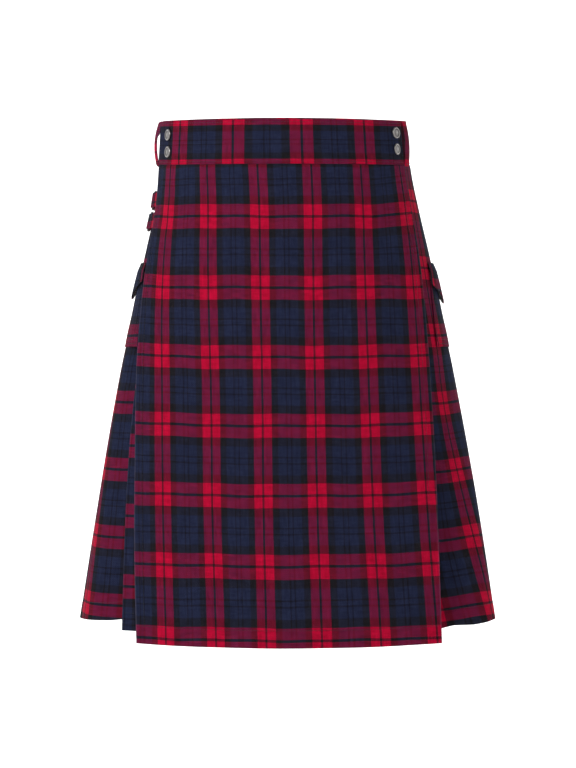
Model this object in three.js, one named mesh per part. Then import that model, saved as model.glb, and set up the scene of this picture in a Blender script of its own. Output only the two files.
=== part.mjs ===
// A wrap-over kilt in tartan cloth, filled out as if worn, with its waist and hem open.
//
// Millimetres, +Z up. The front faces -Y. The origin is the middle of the waist, level with the middle of the
// waistband at the front, which is where a wearer holds the kilt up.
//
// Every cloth lies on one form, a stack of rounded level sections. A place on the form is an arc length s, round
// the section from the front centre (positive towards +X), and a height z. A layer is a distance out from the form.
import * as THREE from "three";

// --- Driving dimensions ----------------------------------------------------------------------------------------
const CLOTH = 1.2; // thickness of the tartan
const SEAM = 0.3; // gap kept between pieces at a seam
const LAYER = 0.4; // gap kept between cloths that lie on each other
const BAND_HEIGHT = 52; // waistband, top to bottom
const BAND_THICK = 2; // folded waistband
const BACK_RISE = 21.6; // how much higher the waistband sits at the centre back than at the front
const SIDE_RISE = 2.2; // how much higher still it sits at the sides

// Level sections of the form. The widest point of a section is at (x, y).
const SECTIONS = [
  { z: 60, half: 146, x: -5, y: 0, front: 105, back: 109 },
  { z: 26, half: 148, x: -4.5, y: 0, front: 108, back: 112 },
  { z: -26, half: 152, x: -3.5, y: 0, front: 110, back: 116 },
  { z: -74, half: 159.5, x: -1.5, y: -3, front: 112, back: 131 },
  { z: -122, half: 170, x: -1, y: -7, front: 114, back: 149 },
  { z: -195, half: 186, x: -1, y: -12, front: 119, back: 168 },
  { z: -303, half: 206.5, x: -1, y: -20, front: 124, back: 188 },
  { z: -424, half: 227, x: -1, y: -30, front: 127, back: 210 },
  { z: -590, half: 251.5, x: -1, y: -42, front: 129, back: 232 },
];

// Where the over apron's two edges lie, and how far out from the form its face is.
const APRON_EDGES = [
  { z: 0, left: -190, right: 163.5, out: 1.8 },
  { z: -60, left: -189, right: 167.5, out: 2 },
  { z: -140, left: -193.5, right: 174.5, out: 2.2 },
  { z: -250, left: -193.5, right: 178.5, out: 2.5 },
  { z: -370, left: -187.5, right: 181, out: 3 },
  { z: -480, left: -183.5, right: 181.5, out: 3.6 },
  { z: -590, left: -177.5, right: 182.5, out: 4.4 },
];

// Lines down the skirt, as arc lengths on either side: the fold of the first pleat beside the apron (photo-left side
// only) and the fold at the back of the hip panel. dip is how far the right hip panel sinks in beside the apron.
const SKIRT_LINES = [
  { z: 0, firstFold: 183, hipFold: 260, dip: 0 },
  { z: -140, firstFold: 188, hipFold: 293, dip: 0 },
  { z: -240, firstFold: 192, hipFold: 300, dip: 2 },
  { z: -300, firstFold: 198, hipFold: 305, dip: 6 },
  { z: -360, firstFold: 201, hipFold: 310, dip: 11 },
  { z: -590, firstFold: 201.5, hipFold: 330, dip: 27 },
];

// Hem heights round each side of the skirt, by arc length from the front. The first pleat beside the apron hangs lower
// than the rest.
const FIRST_PLEAT_HEM = -571;
const LEFT_HEM = [
  { s: 190, z: -557 },
  { s: 225, z: -561 },
  { s: 270, z: -562 },
  { s: 330, z: -563.5 },
  { s: 700, z: -567 },
];
const RIGHT_HEM = [
  { s: 190, z: -573 },
  { s: 218, z: -567 },
  { s: 243, z: -567 },
  { s: 280, z: -563 },
  { s: 330, z: -563.5 },
  { s: 700, z: -567 },
];
const APRON_HEM = { middle: -587.5, edge: -584.5 };
const UNDER_HEM = -570;

// Knife pleats.
const PLEATS_A_SIDE = 5; // behind each hip panel
const PLEAT_STACK = { top: CLOTH + LAYER, hem: 5.2 }; // distance from one layer of a pleat to the next
const PLEAT_UNDERLAY = { top: 29, hem: 12 }; // how far each fold is turned under
const PLEAT_RAMP = { top: 31, hem: 60 }; // over what length a pleat rises from under the one before it
const FOLD_RADIUS = 2.2; // length taken by the turn at a fold
const HIDDEN_PARTS = [118, 135, 152, 169]; // stations behind the over apron, from the skirt's front edge
const HIP_PARTS = 5; // stations across a hip panel
const PLEAT_PARTS = 2; // stations across any other run of cloth
const DIP = { from: 186, to: 268 }; // over what length the dip beside the apron fades out

// Heights of the rings of points that all the hanging cloths share, between the seam and the hem.
const RINGS = [-48, -84, -140, -215, -305, -400, -495];

const UNDER_APRON = { left: -140, right: 140, top: 2.4, hem: 32, columns: 22 }; // top and hem: how far in it hangs
const BAND_FRONT = { from: -189.5, to: 162 };
const BAND_BACK = { from: 140, to: -166 }; // round the back
const BAND_UNDER = { from: -188, to: 162, thick: 1.6 };
const BAND_STEP = 11; // longest facet round the waist
const APRON_COLUMNS = 30;

const LOOP = { width: 12, thick: 1.8, bulge: 6, fullness: 0.75, top: 25, bottom: -28, steps: 10 };
const LOOP_PLACES = { belt_loop_left: -198.5, belt_loop_right: 171.5, belt_loop_back: 418.4 };

const CAP = { radius: 6.8, height: 2.4, gap: 0.5, sides: 14 };
// A cap from its back to its middle, as shares of its radius and height.
const CAP_PROFILE = [
  { across: 0, up: 0 },
  { across: 0.9, up: 0 },
  { across: 1, up: 0.4 },
  { across: 0.8, up: 0.9 },
  { across: 0, up: 1 },
];
const BAND_LEAN = 0.07; // how far the waistband's face leans back for each millimetre of height
const CAP_PLACES = [
  { name: "snap_cap_left_upper", s: -157.6, z: 13.2 },
  { name: "snap_cap_left_lower", s: -157.6, z: -7.2 },
  { name: "snap_cap_right_upper", s: 147.6, z: 14.6 },
  { name: "snap_cap_right_lower", s: 147.6, z: -5.2 },
];

const HIP_LAYER = 0.7; // gap kept between the hip and what is sewn on it
const STRAP = { width: 18, start: 191.6, tail: 202, tabStart: 262, tabTail: 250, steps: 4, turn: 1 };
const STRAP_HEIGHTS = { upper: -61.6, lower: -87.6 };
const RING = { from: 217.8, to: 238.2, height: 24, bar: 2.4, under: 2.2 };

const POCKET = { middle: 245, width: 92, top: -151, bottom: -239, swell: 0.6, fullness: 0.6, columns: 8, rows: 4 };
const FLAP = { width: 96, top: -139, sides: 27, drop: 48, tartan: 1, lining: 1, columns: 8 };
// How a flap steps out over the top of its pocket, and then stands off it towards its point.
const FLAP_RISE = { until: 10, step: 1.9, flare: 1.5 };

// --- Materials -------------------------------------------------------------------------------------------------
const TARTAN = { color: 0x4b2038, roughness: 0.92, metalness: 0 };
const TARTAN_DEEP = { color: 0x2a2338, roughness: 0.92, metalness: 0 };
const BLACK_LINING = { color: 0x17161a, roughness: 0.85, metalness: 0 };
const METAL = { color: 0x9a9792, roughness: 0.35, metalness: 0.9 };

const kilt = new THREE.Group();
kilt.name = "kilt";

function addPiece(name, geometry, look) {
  const mesh = new THREE.Mesh(geometry, new THREE.MeshStandardMaterial(look));
  mesh.name = name;
  kilt.add(mesh);
  return mesh;
}

// --- The form --------------------------------------------------------------------------------------------------
const lerp = THREE.MathUtils.lerp;
const clamp = THREE.MathUtils.clamp;

function slopeBetween(a, b, key) {
  return (b[key] - a[key]) / (b.z - a.z);
}

// A smooth value down a table whose rows are sorted from the top down.
function downTable(rows, key, z) {
  let i = 0;
  while (i < rows.length - 2 && z < rows[i + 1].z) i += 1;
  const a = rows[i];
  const b = rows[i + 1];
  const span = b.z - a.z;
  const t = (z - a.z) / span;
  const middle = slopeBetween(a, b, key);
  const before = i > 0 ? (slopeBetween(rows[i - 1], a, key) + middle) / 2 : middle;
  const after = i < rows.length - 2 ? (slopeBetween(b, rows[i + 2], key) + middle) / 2 : middle;
  const t2 = t * t;
  const t3 = t2 * t;
  return (
    (2 * t3 - 3 * t2 + 1) * a[key] +
    (t3 - 2 * t2 + t) * span * before +
    (3 * t2 - 2 * t3) * b[key] +
    (t3 - t2) * span * after
  );
}

const ARC_STEPS = 720;
const sectionStore = new Map();

// One level section, with the arc length from the front centre to each of its steps round to the back centre.
function sectionAt(z) {
  const key = z.toFixed(4);
  if (sectionStore.has(key)) return sectionStore.get(key);
  const section = { length: [0] };
  for (const column of ["half", "x", "y", "front", "back"]) section[column] = downTable(SECTIONS, column, z);
  let before = planPoint(section, 0, 0);
  for (let i = 1; i <= ARC_STEPS; i += 1) {
    const here = planPoint(section, (i / ARC_STEPS) * Math.PI, 0);
    section.length.push(section.length[i - 1] + here.distanceTo(before));
    before = here;
  }
  sectionStore.set(key, section);
  return section;
}

// The point at an angle round the section (0 at the front centre), moved out by a distance.
function planPoint(section, angle, out) {
  const depth = Math.cos(angle) > 0 ? section.front : section.back;
  const normal = new THREE.Vector2(depth * Math.sin(angle), -section.half * Math.cos(angle)).normalize();
  return new THREE.Vector2(
    section.x + section.half * Math.sin(angle) + out * normal.x,
    section.y - depth * Math.cos(angle) + out * normal.y,
  );
}

function halfLength(z) {
  return sectionAt(z).length[ARC_STEPS];
}

function angleAt(z, s) {
  const { length } = sectionAt(z);
  const half = length[ARC_STEPS];
  let arc = s;
  if (arc > half) arc -= 2 * half;
  if (arc < -half) arc += 2 * half;
  const target = Math.abs(arc);
  let low = 0;
  let high = ARC_STEPS;
  while (high - low > 1) {
    const middle = (low + high) >> 1;
    if (length[middle] <= target) low = middle;
    else high = middle;
  }
  const part = (target - length[low]) / (length[high] - length[low]);
  return (Math.sign(arc) * (low + part) * Math.PI) / ARC_STEPS;
}

function atAngle(angle, z, out) {
  const p = planPoint(sectionAt(z), angle, out);
  return new THREE.Vector3(p.x, p.y, z);
}

const onForm = (s, z, out) => atAngle(angleAt(z, s), z, out);

// How much the tilted waistband rises at an angle round the waist.
const waistRise = (angle) => BACK_RISE * ((1 - Math.cos(angle)) / 2) ** 2 + SIDE_RISE * Math.sin(angle) ** 2;

// The height of a piece's top edge at the waist seam, where placeAt gives its signed arc length at a height.
function seamHeight(placeAt) {
  const level = -(BAND_HEIGHT + SEAM) / 2;
  let z = level;
  for (let pass = 0; pass < 4; pass += 1) z = level + waistRise(angleAt(z, placeAt(z)));
  return z;
}

function hemHeight(rows, s) {
  let i = 0;
  while (i < rows.length - 2 && s > rows[i + 1].s) i += 1;
  const a = rows[i];
  const b = rows[i + 1];
  return lerp(a.z, b.z, clamp((s - a.s) / (b.s - a.s), 0, 1));
}

// --- Closed walls ----------------------------------------------------------------------------------------------
function signedVolume(points, faces) {
  let sum = 0;
  for (const [a, b, c] of faces) sum += points[a].dot(new THREE.Vector3().crossVectors(points[b], points[c]));
  return sum / 6;
}

function solidFrom(points, faces) {
  const facing = signedVolume(points, faces) < 0 ? faces.map(([a, b, c]) => [a, c, b]) : faces;
  const geometry = new THREE.BufferGeometry();
  const flat = points.flatMap((p) => [p.x, p.y, p.z]);
  geometry.setAttribute("position", new THREE.Float32BufferAttribute(flat, 3));
  geometry.setIndex(facing.flat());
  geometry.computeVertexNormals();
  return geometry;
}

// A closed wall from a grid of point pairs. pairAt(i, j) gives { outer, inner } for column i and row j.
function wall(columns, rows, pairAt) {
  const points = [];
  for (let j = 0; j <= rows; j += 1) {
    for (let i = 0; i <= columns; i += 1) {
      const { outer, inner } = pairAt(i, j);
      points.push(outer, inner);
    }
  }
  const at = (i, j, side) => 2 * (j * (columns + 1) + i) + side;
  const faces = [];
  const quad = (a, b, c, d) => faces.push([a, b, c], [a, c, d]);
  for (let j = 0; j < rows; j += 1) {
    for (let i = 0; i < columns; i += 1) {
      quad(at(i, j, 0), at(i + 1, j, 0), at(i + 1, j + 1, 0), at(i, j + 1, 0));
      quad(at(i, j, 1), at(i, j + 1, 1), at(i + 1, j + 1, 1), at(i + 1, j, 1));
    }
  }
  for (let i = 0; i < columns; i += 1) {
    quad(at(i, 0, 0), at(i, 0, 1), at(i + 1, 0, 1), at(i + 1, 0, 0));
    quad(at(i, rows, 0), at(i + 1, rows, 0), at(i + 1, rows, 1), at(i, rows, 1));
  }
  for (let j = 0; j < rows; j += 1) {
    quad(at(0, j, 0), at(0, j + 1, 0), at(0, j + 1, 1), at(0, j, 1));
    quad(at(columns, j, 0), at(columns, j, 1), at(columns, j + 1, 1), at(columns, j + 1, 0));
  }
  return solidFrom(points, faces);
}

// --- Waistband -------------------------------------------------------------------------------------------------
function bandWall(from, to, out, thick) {
  const end = to < from ? to + 2 * halfLength(0) : to;
  const columns = Math.ceil((end - from) / BAND_STEP);
  return wall(columns, 1, (i, j) => {
    const angle = angleAt(0, lerp(from, end, i / columns));
    const bottom = (SEAM - BAND_HEIGHT) / 2;
    const z = lerp(BAND_HEIGHT / 2, bottom, j) + waistRise(angle);
    return { outer: atAngle(angle, z, out), inner: atAngle(angle, z, out - thick) };
  });
}

function makeBands() {
  const under = -BAND_THICK - LAYER;
  addPiece("band_front", bandWall(BAND_FRONT.from, BAND_FRONT.to, LAYER + BAND_THICK, BAND_THICK), TARTAN);
  addPiece("band_back", bandWall(BAND_BACK.from, BAND_BACK.to, 0, BAND_THICK), TARTAN);
  addPiece("band_under", bandWall(BAND_UNDER.from, BAND_UNDER.to, under, BAND_UNDER.thick), TARTAN_DEEP);
}

// How far down the skirt a height is, 0 at the waist seam and 1 at the hem.
const downSkirt = (z) => clamp((z + BAND_HEIGHT / 2) / (FIRST_PLEAT_HEM + BAND_HEIGHT / 2), 0, 1);

// The height of row j of a hanging cloth: its top edge, the shared rings, then its hem.
function ringHeight(j, top, hem) {
  if (j === 0) return top;
  if (j > RINGS.length) return hem;
  return RINGS[j - 1];
}

// --- Aprons ----------------------------------------------------------------------------------------------------
function makeOverApron() {
  const geometry = wall(APRON_COLUMNS, RINGS.length + 1, (i, j) => {
    const across = i / APRON_COLUMNS;
    const place = (z) => lerp(downTable(APRON_EDGES, "left", z), downTable(APRON_EDGES, "right", z), across);
    const hem = lerp(APRON_HEM.middle, APRON_HEM.edge, (2 * across - 1) ** 2);
    const z = ringHeight(j, seamHeight(place), hem);
    const out = downTable(APRON_EDGES, "out", z);
    return { outer: onForm(place(z), z, out), inner: onForm(place(z), z, out - CLOTH) };
  });
  addPiece("apron_over", geometry, TARTAN);
}

function makeUnderApron() {
  const geometry = wall(UNDER_APRON.columns, RINGS.length + 1, (i, j) => {
    const s = lerp(UNDER_APRON.left, UNDER_APRON.right, i / UNDER_APRON.columns);
    const z = ringHeight(j, seamHeight(() => s), UNDER_HEM);
    const out = -lerp(UNDER_APRON.top, UNDER_APRON.hem, downSkirt(z));
    return { outer: onForm(s, z, out), inner: onForm(s, z, out - CLOTH) };
  });
  addPiece("apron_under", geometry, TARTAN_DEEP);
}

// --- Pleated skirt ---------------------------------------------------------------------------------------------
// The arc lengths of every fold on one side at a height, from the front to the centre back.
function foldsAt(z, hasFirstPleat) {
  const hip = downTable(SKIRT_LINES, "hipFold", z);
  const last = halfLength(z) - SEAM;
  const folds = hasFirstPleat ? [downTable(SKIRT_LINES, "firstFold", z)] : [];
  for (let k = 0; k <= PLEATS_A_SIDE; k += 1) folds.push(lerp(hip, last, k / PLEATS_A_SIDE));
  return folds;
}

// The layer of the outer face of the run that ends at fold k, at an arc length s.
function runLayer(k, s, z, folds, hasFirstPleat) {
  const down = downSkirt(z);
  if (k === 0) {
    if (hasFirstPleat) return 0;
    const dip = downTable(SKIRT_LINES, "dip", z);
    return -Math.max(dip, 0) * (1 - THREE.MathUtils.smoothstep(s, DIP.from, DIP.to));
  }
  const stack = lerp(PLEAT_STACK.top, PLEAT_STACK.hem, down);
  const fold = folds[k - 1];
  if (s <= fold) return runLayer(k - 1, s, z, folds, hasFirstPleat) - 2 * stack;
  const width = k < folds.length ? folds[k] - fold : Infinity;
  const ramp = Math.min(width, lerp(PLEAT_RAMP.top, PLEAT_RAMP.hem, down));
  return -2 * stack * Math.max(0, 1 - (s - fold) / ramp);
}

// Stations along the folded cloth. Each has the number of its run of cloth, and gives, for a height, the arc length
// and layer of both faces of the wall.
function skirtStations(hasFirstPleat) {
  const stations = [];
  const addStation = (k, at) => stations.push({ k, at });
  const foldCount = PLEATS_A_SIDE + 1 + (hasFirstPleat ? 1 : 0);
  const layerAt = (k, s, z, folds) => runLayer(k, s, z, folds, hasFirstPleat);
  const run = (k, place) =>
    addStation(k, (z, folds) => {
      const s = place(z, folds);
      const layer = layerAt(k, s, z, folds);
      return { outerS: s, outerLayer: layer, innerS: s, innerLayer: layer - CLOTH };
    });
  const underlay = (z) => lerp(PLEAT_UNDERLAY.top, PLEAT_UNDERLAY.hem, downSkirt(z));
  const stack = (z) => lerp(PLEAT_STACK.top, PLEAT_STACK.hem, downSkirt(z));
  const startRun = (k) => {
    if (k === 0) {
      for (const at of HIDDEN_PARTS) run(0, () => at);
      return;
    }
    run(k, (z, folds) => folds[k - 1] - underlay(z) + FOLD_RADIUS);
    run(k, (z, folds) => folds[k - 1]);
  };
  for (let k = 0; k < foldCount; k += 1) {
    startRun(k);
    const from = (z, folds) => (k > 0 ? folds[k - 1] : HIDDEN_PARTS.at(-1));
    const to = (z, folds) => folds[k] - underlay(z);
    const wide = k === (hasFirstPleat ? 1 : 0);
    const parts = wide ? HIP_PARTS : PLEAT_PARTS;
    for (let p = 1; p < parts; p += 1) {
      run(k, (z, folds) => lerp(from(z, folds), Math.max(to(z, folds), from(z, folds) + 1), p / parts));
    }
    if (!(k === 0 && hasFirstPleat)) run(k, (z, folds) => Math.max(to(z, folds), folds[Math.max(k - 1, 0)] + 1));
    run(k, (z, folds) => folds[k] - FOLD_RADIUS);
    // round the fold and back under
    addStation(k, (z, folds) => {
      const middle = layerAt(k, folds[k], z, folds) - (CLOTH + stack(z)) / 2;
      return { outerS: folds[k], outerLayer: middle, innerS: folds[k] - CLOTH, innerLayer: middle };
    });
    const turned = (place) =>
      addStation(k, (z, folds) => {
        const s = place(z, folds);
        const layer = layerAt(k, s, z, folds) - stack(z);
        return { outerS: s, outerLayer: layer - CLOTH, innerS: s, innerLayer: layer };
      });
    turned((z, folds) => folds[k] - FOLD_RADIUS);
    turned((z, folds) => folds[k] - underlay(z) + FOLD_RADIUS);
    addStation(k, (z, folds) => {
      const s = folds[k] - underlay(z);
      const middle = layerAt(k, s, z, folds) - stack(z) * 1.5 - CLOTH / 2;
      return { outerS: s + CLOTH, outerLayer: middle, innerS: s, innerLayer: middle };
    });
  }
  // the cloth behind the last fold, sewn to the other side's at the centre back
  startRun(foldCount);
  return stations;
}

function makeSkirt(name, side, hasFirstPleat) {
  const stations = skirtStations(hasFirstPleat);
  const hemRows = side < 0 ? LEFT_HEM : RIGHT_HEM;
  const geometry = wall(stations.length - 1, RINGS.length + 1, (i, j) => {
    const { k, at: placeAt } = stations[i];
    const place = (z) => placeAt(z, foldsAt(z, hasFirstPleat));
    const top = seamHeight((z) => side * place(z).outerS);
    const isFirst = hasFirstPleat && k === 0;
    const hem = isFirst ? FIRST_PLEAT_HEM : hemHeight(hemRows, place(FIRST_PLEAT_HEM).outerS);
    const z = ringHeight(j, top, hem);
    const at = place(z);
    return {
      outer: onForm(side * at.outerS, z, at.outerLayer),
      inner: onForm(side * at.innerS, z, at.innerLayer),
    };
  });
  addPiece(name, geometry, TARTAN);
}

// --- Belt loops ------------------------------------------------------------------------------------------------
function makeLoop(name, middle) {
  const rise = waistRise(angleAt(0, middle));
  const geometry = wall(1, LOOP.steps, (i, j) => {
    const t = j / LOOP.steps;
    const s = middle + LOOP.width * (i - 0.5);
    const z = lerp(LOOP.top, LOOP.bottom, t) + rise;
    const out = LAYER + LOOP.bulge * Math.sin(Math.PI * t) ** LOOP.fullness;
    return { outer: onForm(s, z, out + LOOP.thick), inner: onForm(s, z, out) };
  });
  addPiece(name, geometry, TARTAN);
}

// --- Snap caps -------------------------------------------------------------------------------------------------
// A low domed cap with a rolled rim, its back against a face that is out from the form.
function makeCap(name, s, z, out, lean) {
  const profile = CAP_PROFILE.map(({ across, up }) => new THREE.Vector2(CAP.radius * across, CAP.height * up));
  const geometry = new THREE.LatheGeometry(profile, CAP.sides);
  const cap = addPiece(name, geometry, METAL);
  const foot = onForm(s, z, out + CAP.gap);
  const outward = onForm(s, z, out + CAP.gap + 1).sub(foot).normalize();
  outward.z += lean;
  cap.position.copy(foot);
  cap.quaternion.setFromUnitVectors(new THREE.Vector3(0, 1, 0), outward.normalize());
}

// --- Hip straps ------------------------------------------------------------------------------------------------
// A strap that lies on the hip, goes through the ring and doubles back over its bar. The profile is a list of
// [arc length, layer] pairs for the face away from the bar and for the face next to it.
function strapWall(start, bar, tail, middle) {
  const towards = Math.sign(bar - start);
  const near = bar + towards * (RING.bar + SEAM); // face that wraps the bar, just past it
  const far = near + towards * CLOTH;
  const low = HIP_LAYER;
  const high = RING.under + RING.bar + SEAM;
  const turn = near - towards * STRAP.turn;
  const profile = [];
  for (let i = 0; i <= STRAP.steps; i += 1) {
    const s = lerp(start, turn, i / STRAP.steps);
    profile.push({ outer: [s, low], inner: [s, low + CLOTH] });
  }
  profile.push({ outer: [far, low], inner: [near, low + CLOTH] });
  profile.push({ outer: [far, high + CLOTH], inner: [near, high] });
  for (let i = 0; i <= STRAP.steps; i += 1) {
    const s = lerp(turn, tail, i / STRAP.steps);
    profile.push({ outer: [s, high + CLOTH], inner: [s, high] });
  }
  return wall(profile.length - 1, 1, (i, j) => {
    const z = middle + STRAP.width * (0.5 - j);
    const { outer, inner } = profile[i];
    return { outer: onForm(-outer[0], z, outer[1]), inner: onForm(-inner[0], z, inner[1]) };
  });
}

function ringSolid(middle) {
  const corner = (sIn, zIn, out) => {
    const s = sIn ? RING.from + RING.bar : RING.from;
    const e = sIn ? RING.to - RING.bar : RING.to;
    const h = RING.height / 2 - (zIn ? RING.bar : 0);
    return [
      onForm(-s, middle + h, out),
      onForm(-e, middle + h, out),
      onForm(-e, middle - h, out),
      onForm(-s, middle - h, out),
    ];
  };
  const top = RING.under + RING.bar;
  const loops = [
    corner(false, false, top),
    corner(true, true, top),
    corner(true, true, RING.under),
    corner(false, false, RING.under),
  ];
  const points = loops.flat();
  const faces = [];
  for (let k = 0; k < 4; k += 1) {
    for (let i = 0; i < 4; i += 1) {
      const a = 4 * k + i;
      const b = 4 * k + ((i + 1) % 4);
      const c = 4 * ((k + 1) % 4) + ((i + 1) % 4);
      const d = 4 * ((k + 1) % 4) + i;
      faces.push([a, b, c], [a, c, d]);
    }
  }
  return solidFrom(points, faces);
}

function makeHipStraps() {
  for (const [level, middle] of Object.entries(STRAP_HEIGHTS)) {
    addPiece(`hip_strap_${level}`, strapWall(STRAP.start, RING.from, STRAP.tail, middle), TARTAN);
    addPiece(`hip_tab_${level}`, strapWall(STRAP.tabStart, RING.to, STRAP.tabTail, middle), TARTAN);
    addPiece(`hip_ring_${level}`, ringSolid(middle), METAL);
  }
}

// --- Pockets ---------------------------------------------------------------------------------------------------
function makePocket(name, side) {
  const geometry = wall(POCKET.columns, POCKET.rows, (i, j) => {
    const across = i / POCKET.columns;
    const down = j / POCKET.rows;
    const s = side * (POCKET.middle + POCKET.width * (across - 0.5));
    const z = lerp(POCKET.top, POCKET.bottom, down);
    const crown = (Math.sin(Math.PI * across) * Math.sin(Math.PI * down)) ** POCKET.fullness;
    const out = HIP_LAYER + POCKET.swell * crown;
    return { outer: onForm(s, z, out + CLOTH), inner: onForm(s, z, out) };
  });
  addPiece(name, geometry, TARTAN);
}

// A pointed flap: straight sides, then two slanting edges to a point.
function flapWall(side, under, thick) {
  return wall(FLAP.columns, 2, (i, j) => {
    const across = i / FLAP.columns;
    const s = side * (POCKET.middle + FLAP.width * (across - 0.5));
    const reach = lerp(FLAP.drop, FLAP.sides, Math.abs(2 * across - 1));
    const drop = [0, FLAP_RISE.until, reach][j];
    const z = FLAP.top - drop;
    const step = j > 0 ? FLAP_RISE.step : 0;
    const flare = (FLAP_RISE.flare * Math.max(drop - FLAP_RISE.until, 0)) / (FLAP.drop - FLAP_RISE.until);
    const out = under + step + flare;
    return { outer: onForm(s, z, out + thick), inner: onForm(s, z, out) };
  });
}

function makeFlap(side, word) {
  const outside = HIP_LAYER + FLAP.lining + SEAM;
  addPiece(`flap_lining_${word}`, flapWall(side, HIP_LAYER, FLAP.lining), BLACK_LINING);
  addPiece(`flap_${word}`, flapWall(side, outside, FLAP.tartan), TARTAN);
}

// --- The kilt --------------------------------------------------------------------------------------------------
makeBands();
makeOverApron();
makeUnderApron();
makeSkirt("skirt_left", -1, true);
makeSkirt("skirt_right", 1, false);
for (const [name, middle] of Object.entries(LOOP_PLACES)) makeLoop(name, middle);
for (const { name, s, z } of CAP_PLACES) makeCap(name, s, z, LAYER + BAND_THICK, BAND_LEAN);
makeHipStraps();
makePocket("pocket_left", -1);
makePocket("pocket_right", 1);
makeFlap(-1, "left");
makeFlap(1, "right");

export default kilt;
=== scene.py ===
"""The looks of the tartan kilt: its cloths with their pleats, folds and tartan, its stitches, snaps and rings, and
then the floor, the lights and the camera.

Shapes are worked out in millimetres and made in metres. A place on the kilt is an arc length s round the form from
the front centre (positive towards +X), a height z, and a layer, which is a distance out from the form.
"""

import math
from functools import partial

import bpy
import numpy as np
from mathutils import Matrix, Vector


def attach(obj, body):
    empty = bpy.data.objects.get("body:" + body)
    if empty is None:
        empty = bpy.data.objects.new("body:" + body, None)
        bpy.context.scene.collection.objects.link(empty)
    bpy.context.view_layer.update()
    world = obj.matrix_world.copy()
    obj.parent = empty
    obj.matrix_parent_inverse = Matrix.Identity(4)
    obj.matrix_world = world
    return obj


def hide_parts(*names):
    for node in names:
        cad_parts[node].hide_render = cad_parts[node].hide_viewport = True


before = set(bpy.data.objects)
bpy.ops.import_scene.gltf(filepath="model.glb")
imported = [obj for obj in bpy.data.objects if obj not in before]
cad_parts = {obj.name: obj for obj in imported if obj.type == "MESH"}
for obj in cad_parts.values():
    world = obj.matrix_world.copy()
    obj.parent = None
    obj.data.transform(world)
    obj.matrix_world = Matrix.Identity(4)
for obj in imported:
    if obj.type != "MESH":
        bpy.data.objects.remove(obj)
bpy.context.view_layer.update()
MM = 0.001


def table(*rows):
    return np.array(rows, float)


# --- Sizes ---
CLOTH = 1.2
SEAM = 0.3
LAYER = 0.4
BAND_HEIGHT = 52
BAND_THICK = 2
BACK_RISE = 21.6
SIDE_RISE = 2.2
WAIST_SEAM = -(BAND_HEIGHT + SEAM) / 2  # height of the skirt's top edge

# Level sections of the form: height, half width, middle x, y of the widest point, depth to the front and to the back.
SECTIONS = table(
    (60, 146, -5, 0, 105, 109),
    (26, 148, -4.5, 0, 108, 112),
    (-26, 152, -3.5, 0, 110, 116),
    (-74, 159.5, -1.5, -3, 112, 131),
    (-122, 170, -1, -7, 114, 149),
    (-195, 186, -1, -12, 119, 168),
    (-303, 206.5, -1, -20, 124, 188),
    (-424, 227, -1, -30, 127, 210),
    (-590, 251.5, -1, -42, 129, 232),
)
HALF, MID_X, MID_Y, FRONT, BACK = range(1, 6)

# The over apron: height, left edge, right edge, how far out from the form its face is.
APRON_EDGES = table(
    (0, -190, 163.5, 1.8),
    (-60, -189, 167.5, 2),
    (-140, -193.5, 174.5, 2.2),
    (-250, -193.5, 178.5, 2.5),
    (-370, -187.5, 181, 3),
    (-480, -183.5, 181.5, 3.6),
    (-590, -177.5, 182.5, 4.4),
)
APRON_LEFT, APRON_RIGHT, APRON_OUT = 1, 2, 3
APRON_HEM_MIDDLE, APRON_HEM_EDGE = -587.5, -584.5
APRON_WIDTH = 355
APRON_FLAT = (0.36, 0.565)  # metres

# Lines down the skirt: height, fold of the first pleat, fold at the back of the hip panel, dip beside the apron.
SKIRT_LINES = table(
    (0, 183, 260, 0),
    (-140, 188, 293, 0),
    (-240, 192, 300, 2),
    (-300, 198, 305, 6),
    (-360, 201, 310, 11),
    (-590, 201.5, 330, 27),
)
FIRST_FOLD, HIP_FOLD, DIP = 1, 2, 3
DIP_FROM, DIP_TO = 186, 268

FIRST_PLEAT_HEM = -571
# The other hems: arc length, height.
LEFT_HEM = table((190, -557), (225, -561), (270, -562), (330, -563.5), (700, -567))
RIGHT_HEM = table((190, -573), (218, -567), (243, -567), (280, -563), (330, -563.5), (700, -567))
UNDER_HEM = -570
HEM_TURN = 20  # depth of the turned-up hem
HEM_ROW = FIRST_PLEAT_HEM + HEM_TURN + 5  # height where the folds are measured for the hem's stitches

PLEATS_A_SIDE = 5
# At the waist and at the hem: from one layer of cloth to the next in a pleat, how far the cloth is turned under a
# fold, and how far past a fold the next face takes to rise to its full height.
PLEAT_STACK = (CLOTH + LAYER, 5.2)
PLEAT_UNDERLAY = (29, 12)
PLEAT_RAMP = (31, 60)
SKIRT_START = 118
SKIRT_FLATS = {"skirt_left": (0.76, 0.555), "skirt_right": (0.71, 0.555)}  # metres

BAND_FRONT = (-189.5, 162)
BAND_BACK = (140, -166)
BAND_UNDER = (-188, 162)
BAND_UNDER_THICK = 1.6
BAND_UNDER_SLIP = 33.0  # how far its tartan lies from that of the front part
BACK_ROLL = 4.2  # depth of the rolled seam inside the back part, which closes the gap above the pleats
BAND_ROW = BAND_HEIGHT / 2 - 3  # height of the waistband's rows of stitches
CORNER_DIP, CORNER_PLACE, CORNER_REACH = 2.2, 197, 9  # the top corner by the left snaps, which is pulled down
UNDER_APRON = (-140, 140)
UNDER_APRON_IN = (2.4, 32)  # how far inside the form, at the waist and at the hem
UNDER_FLAT = (0.28, 0.545)  # metres

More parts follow.
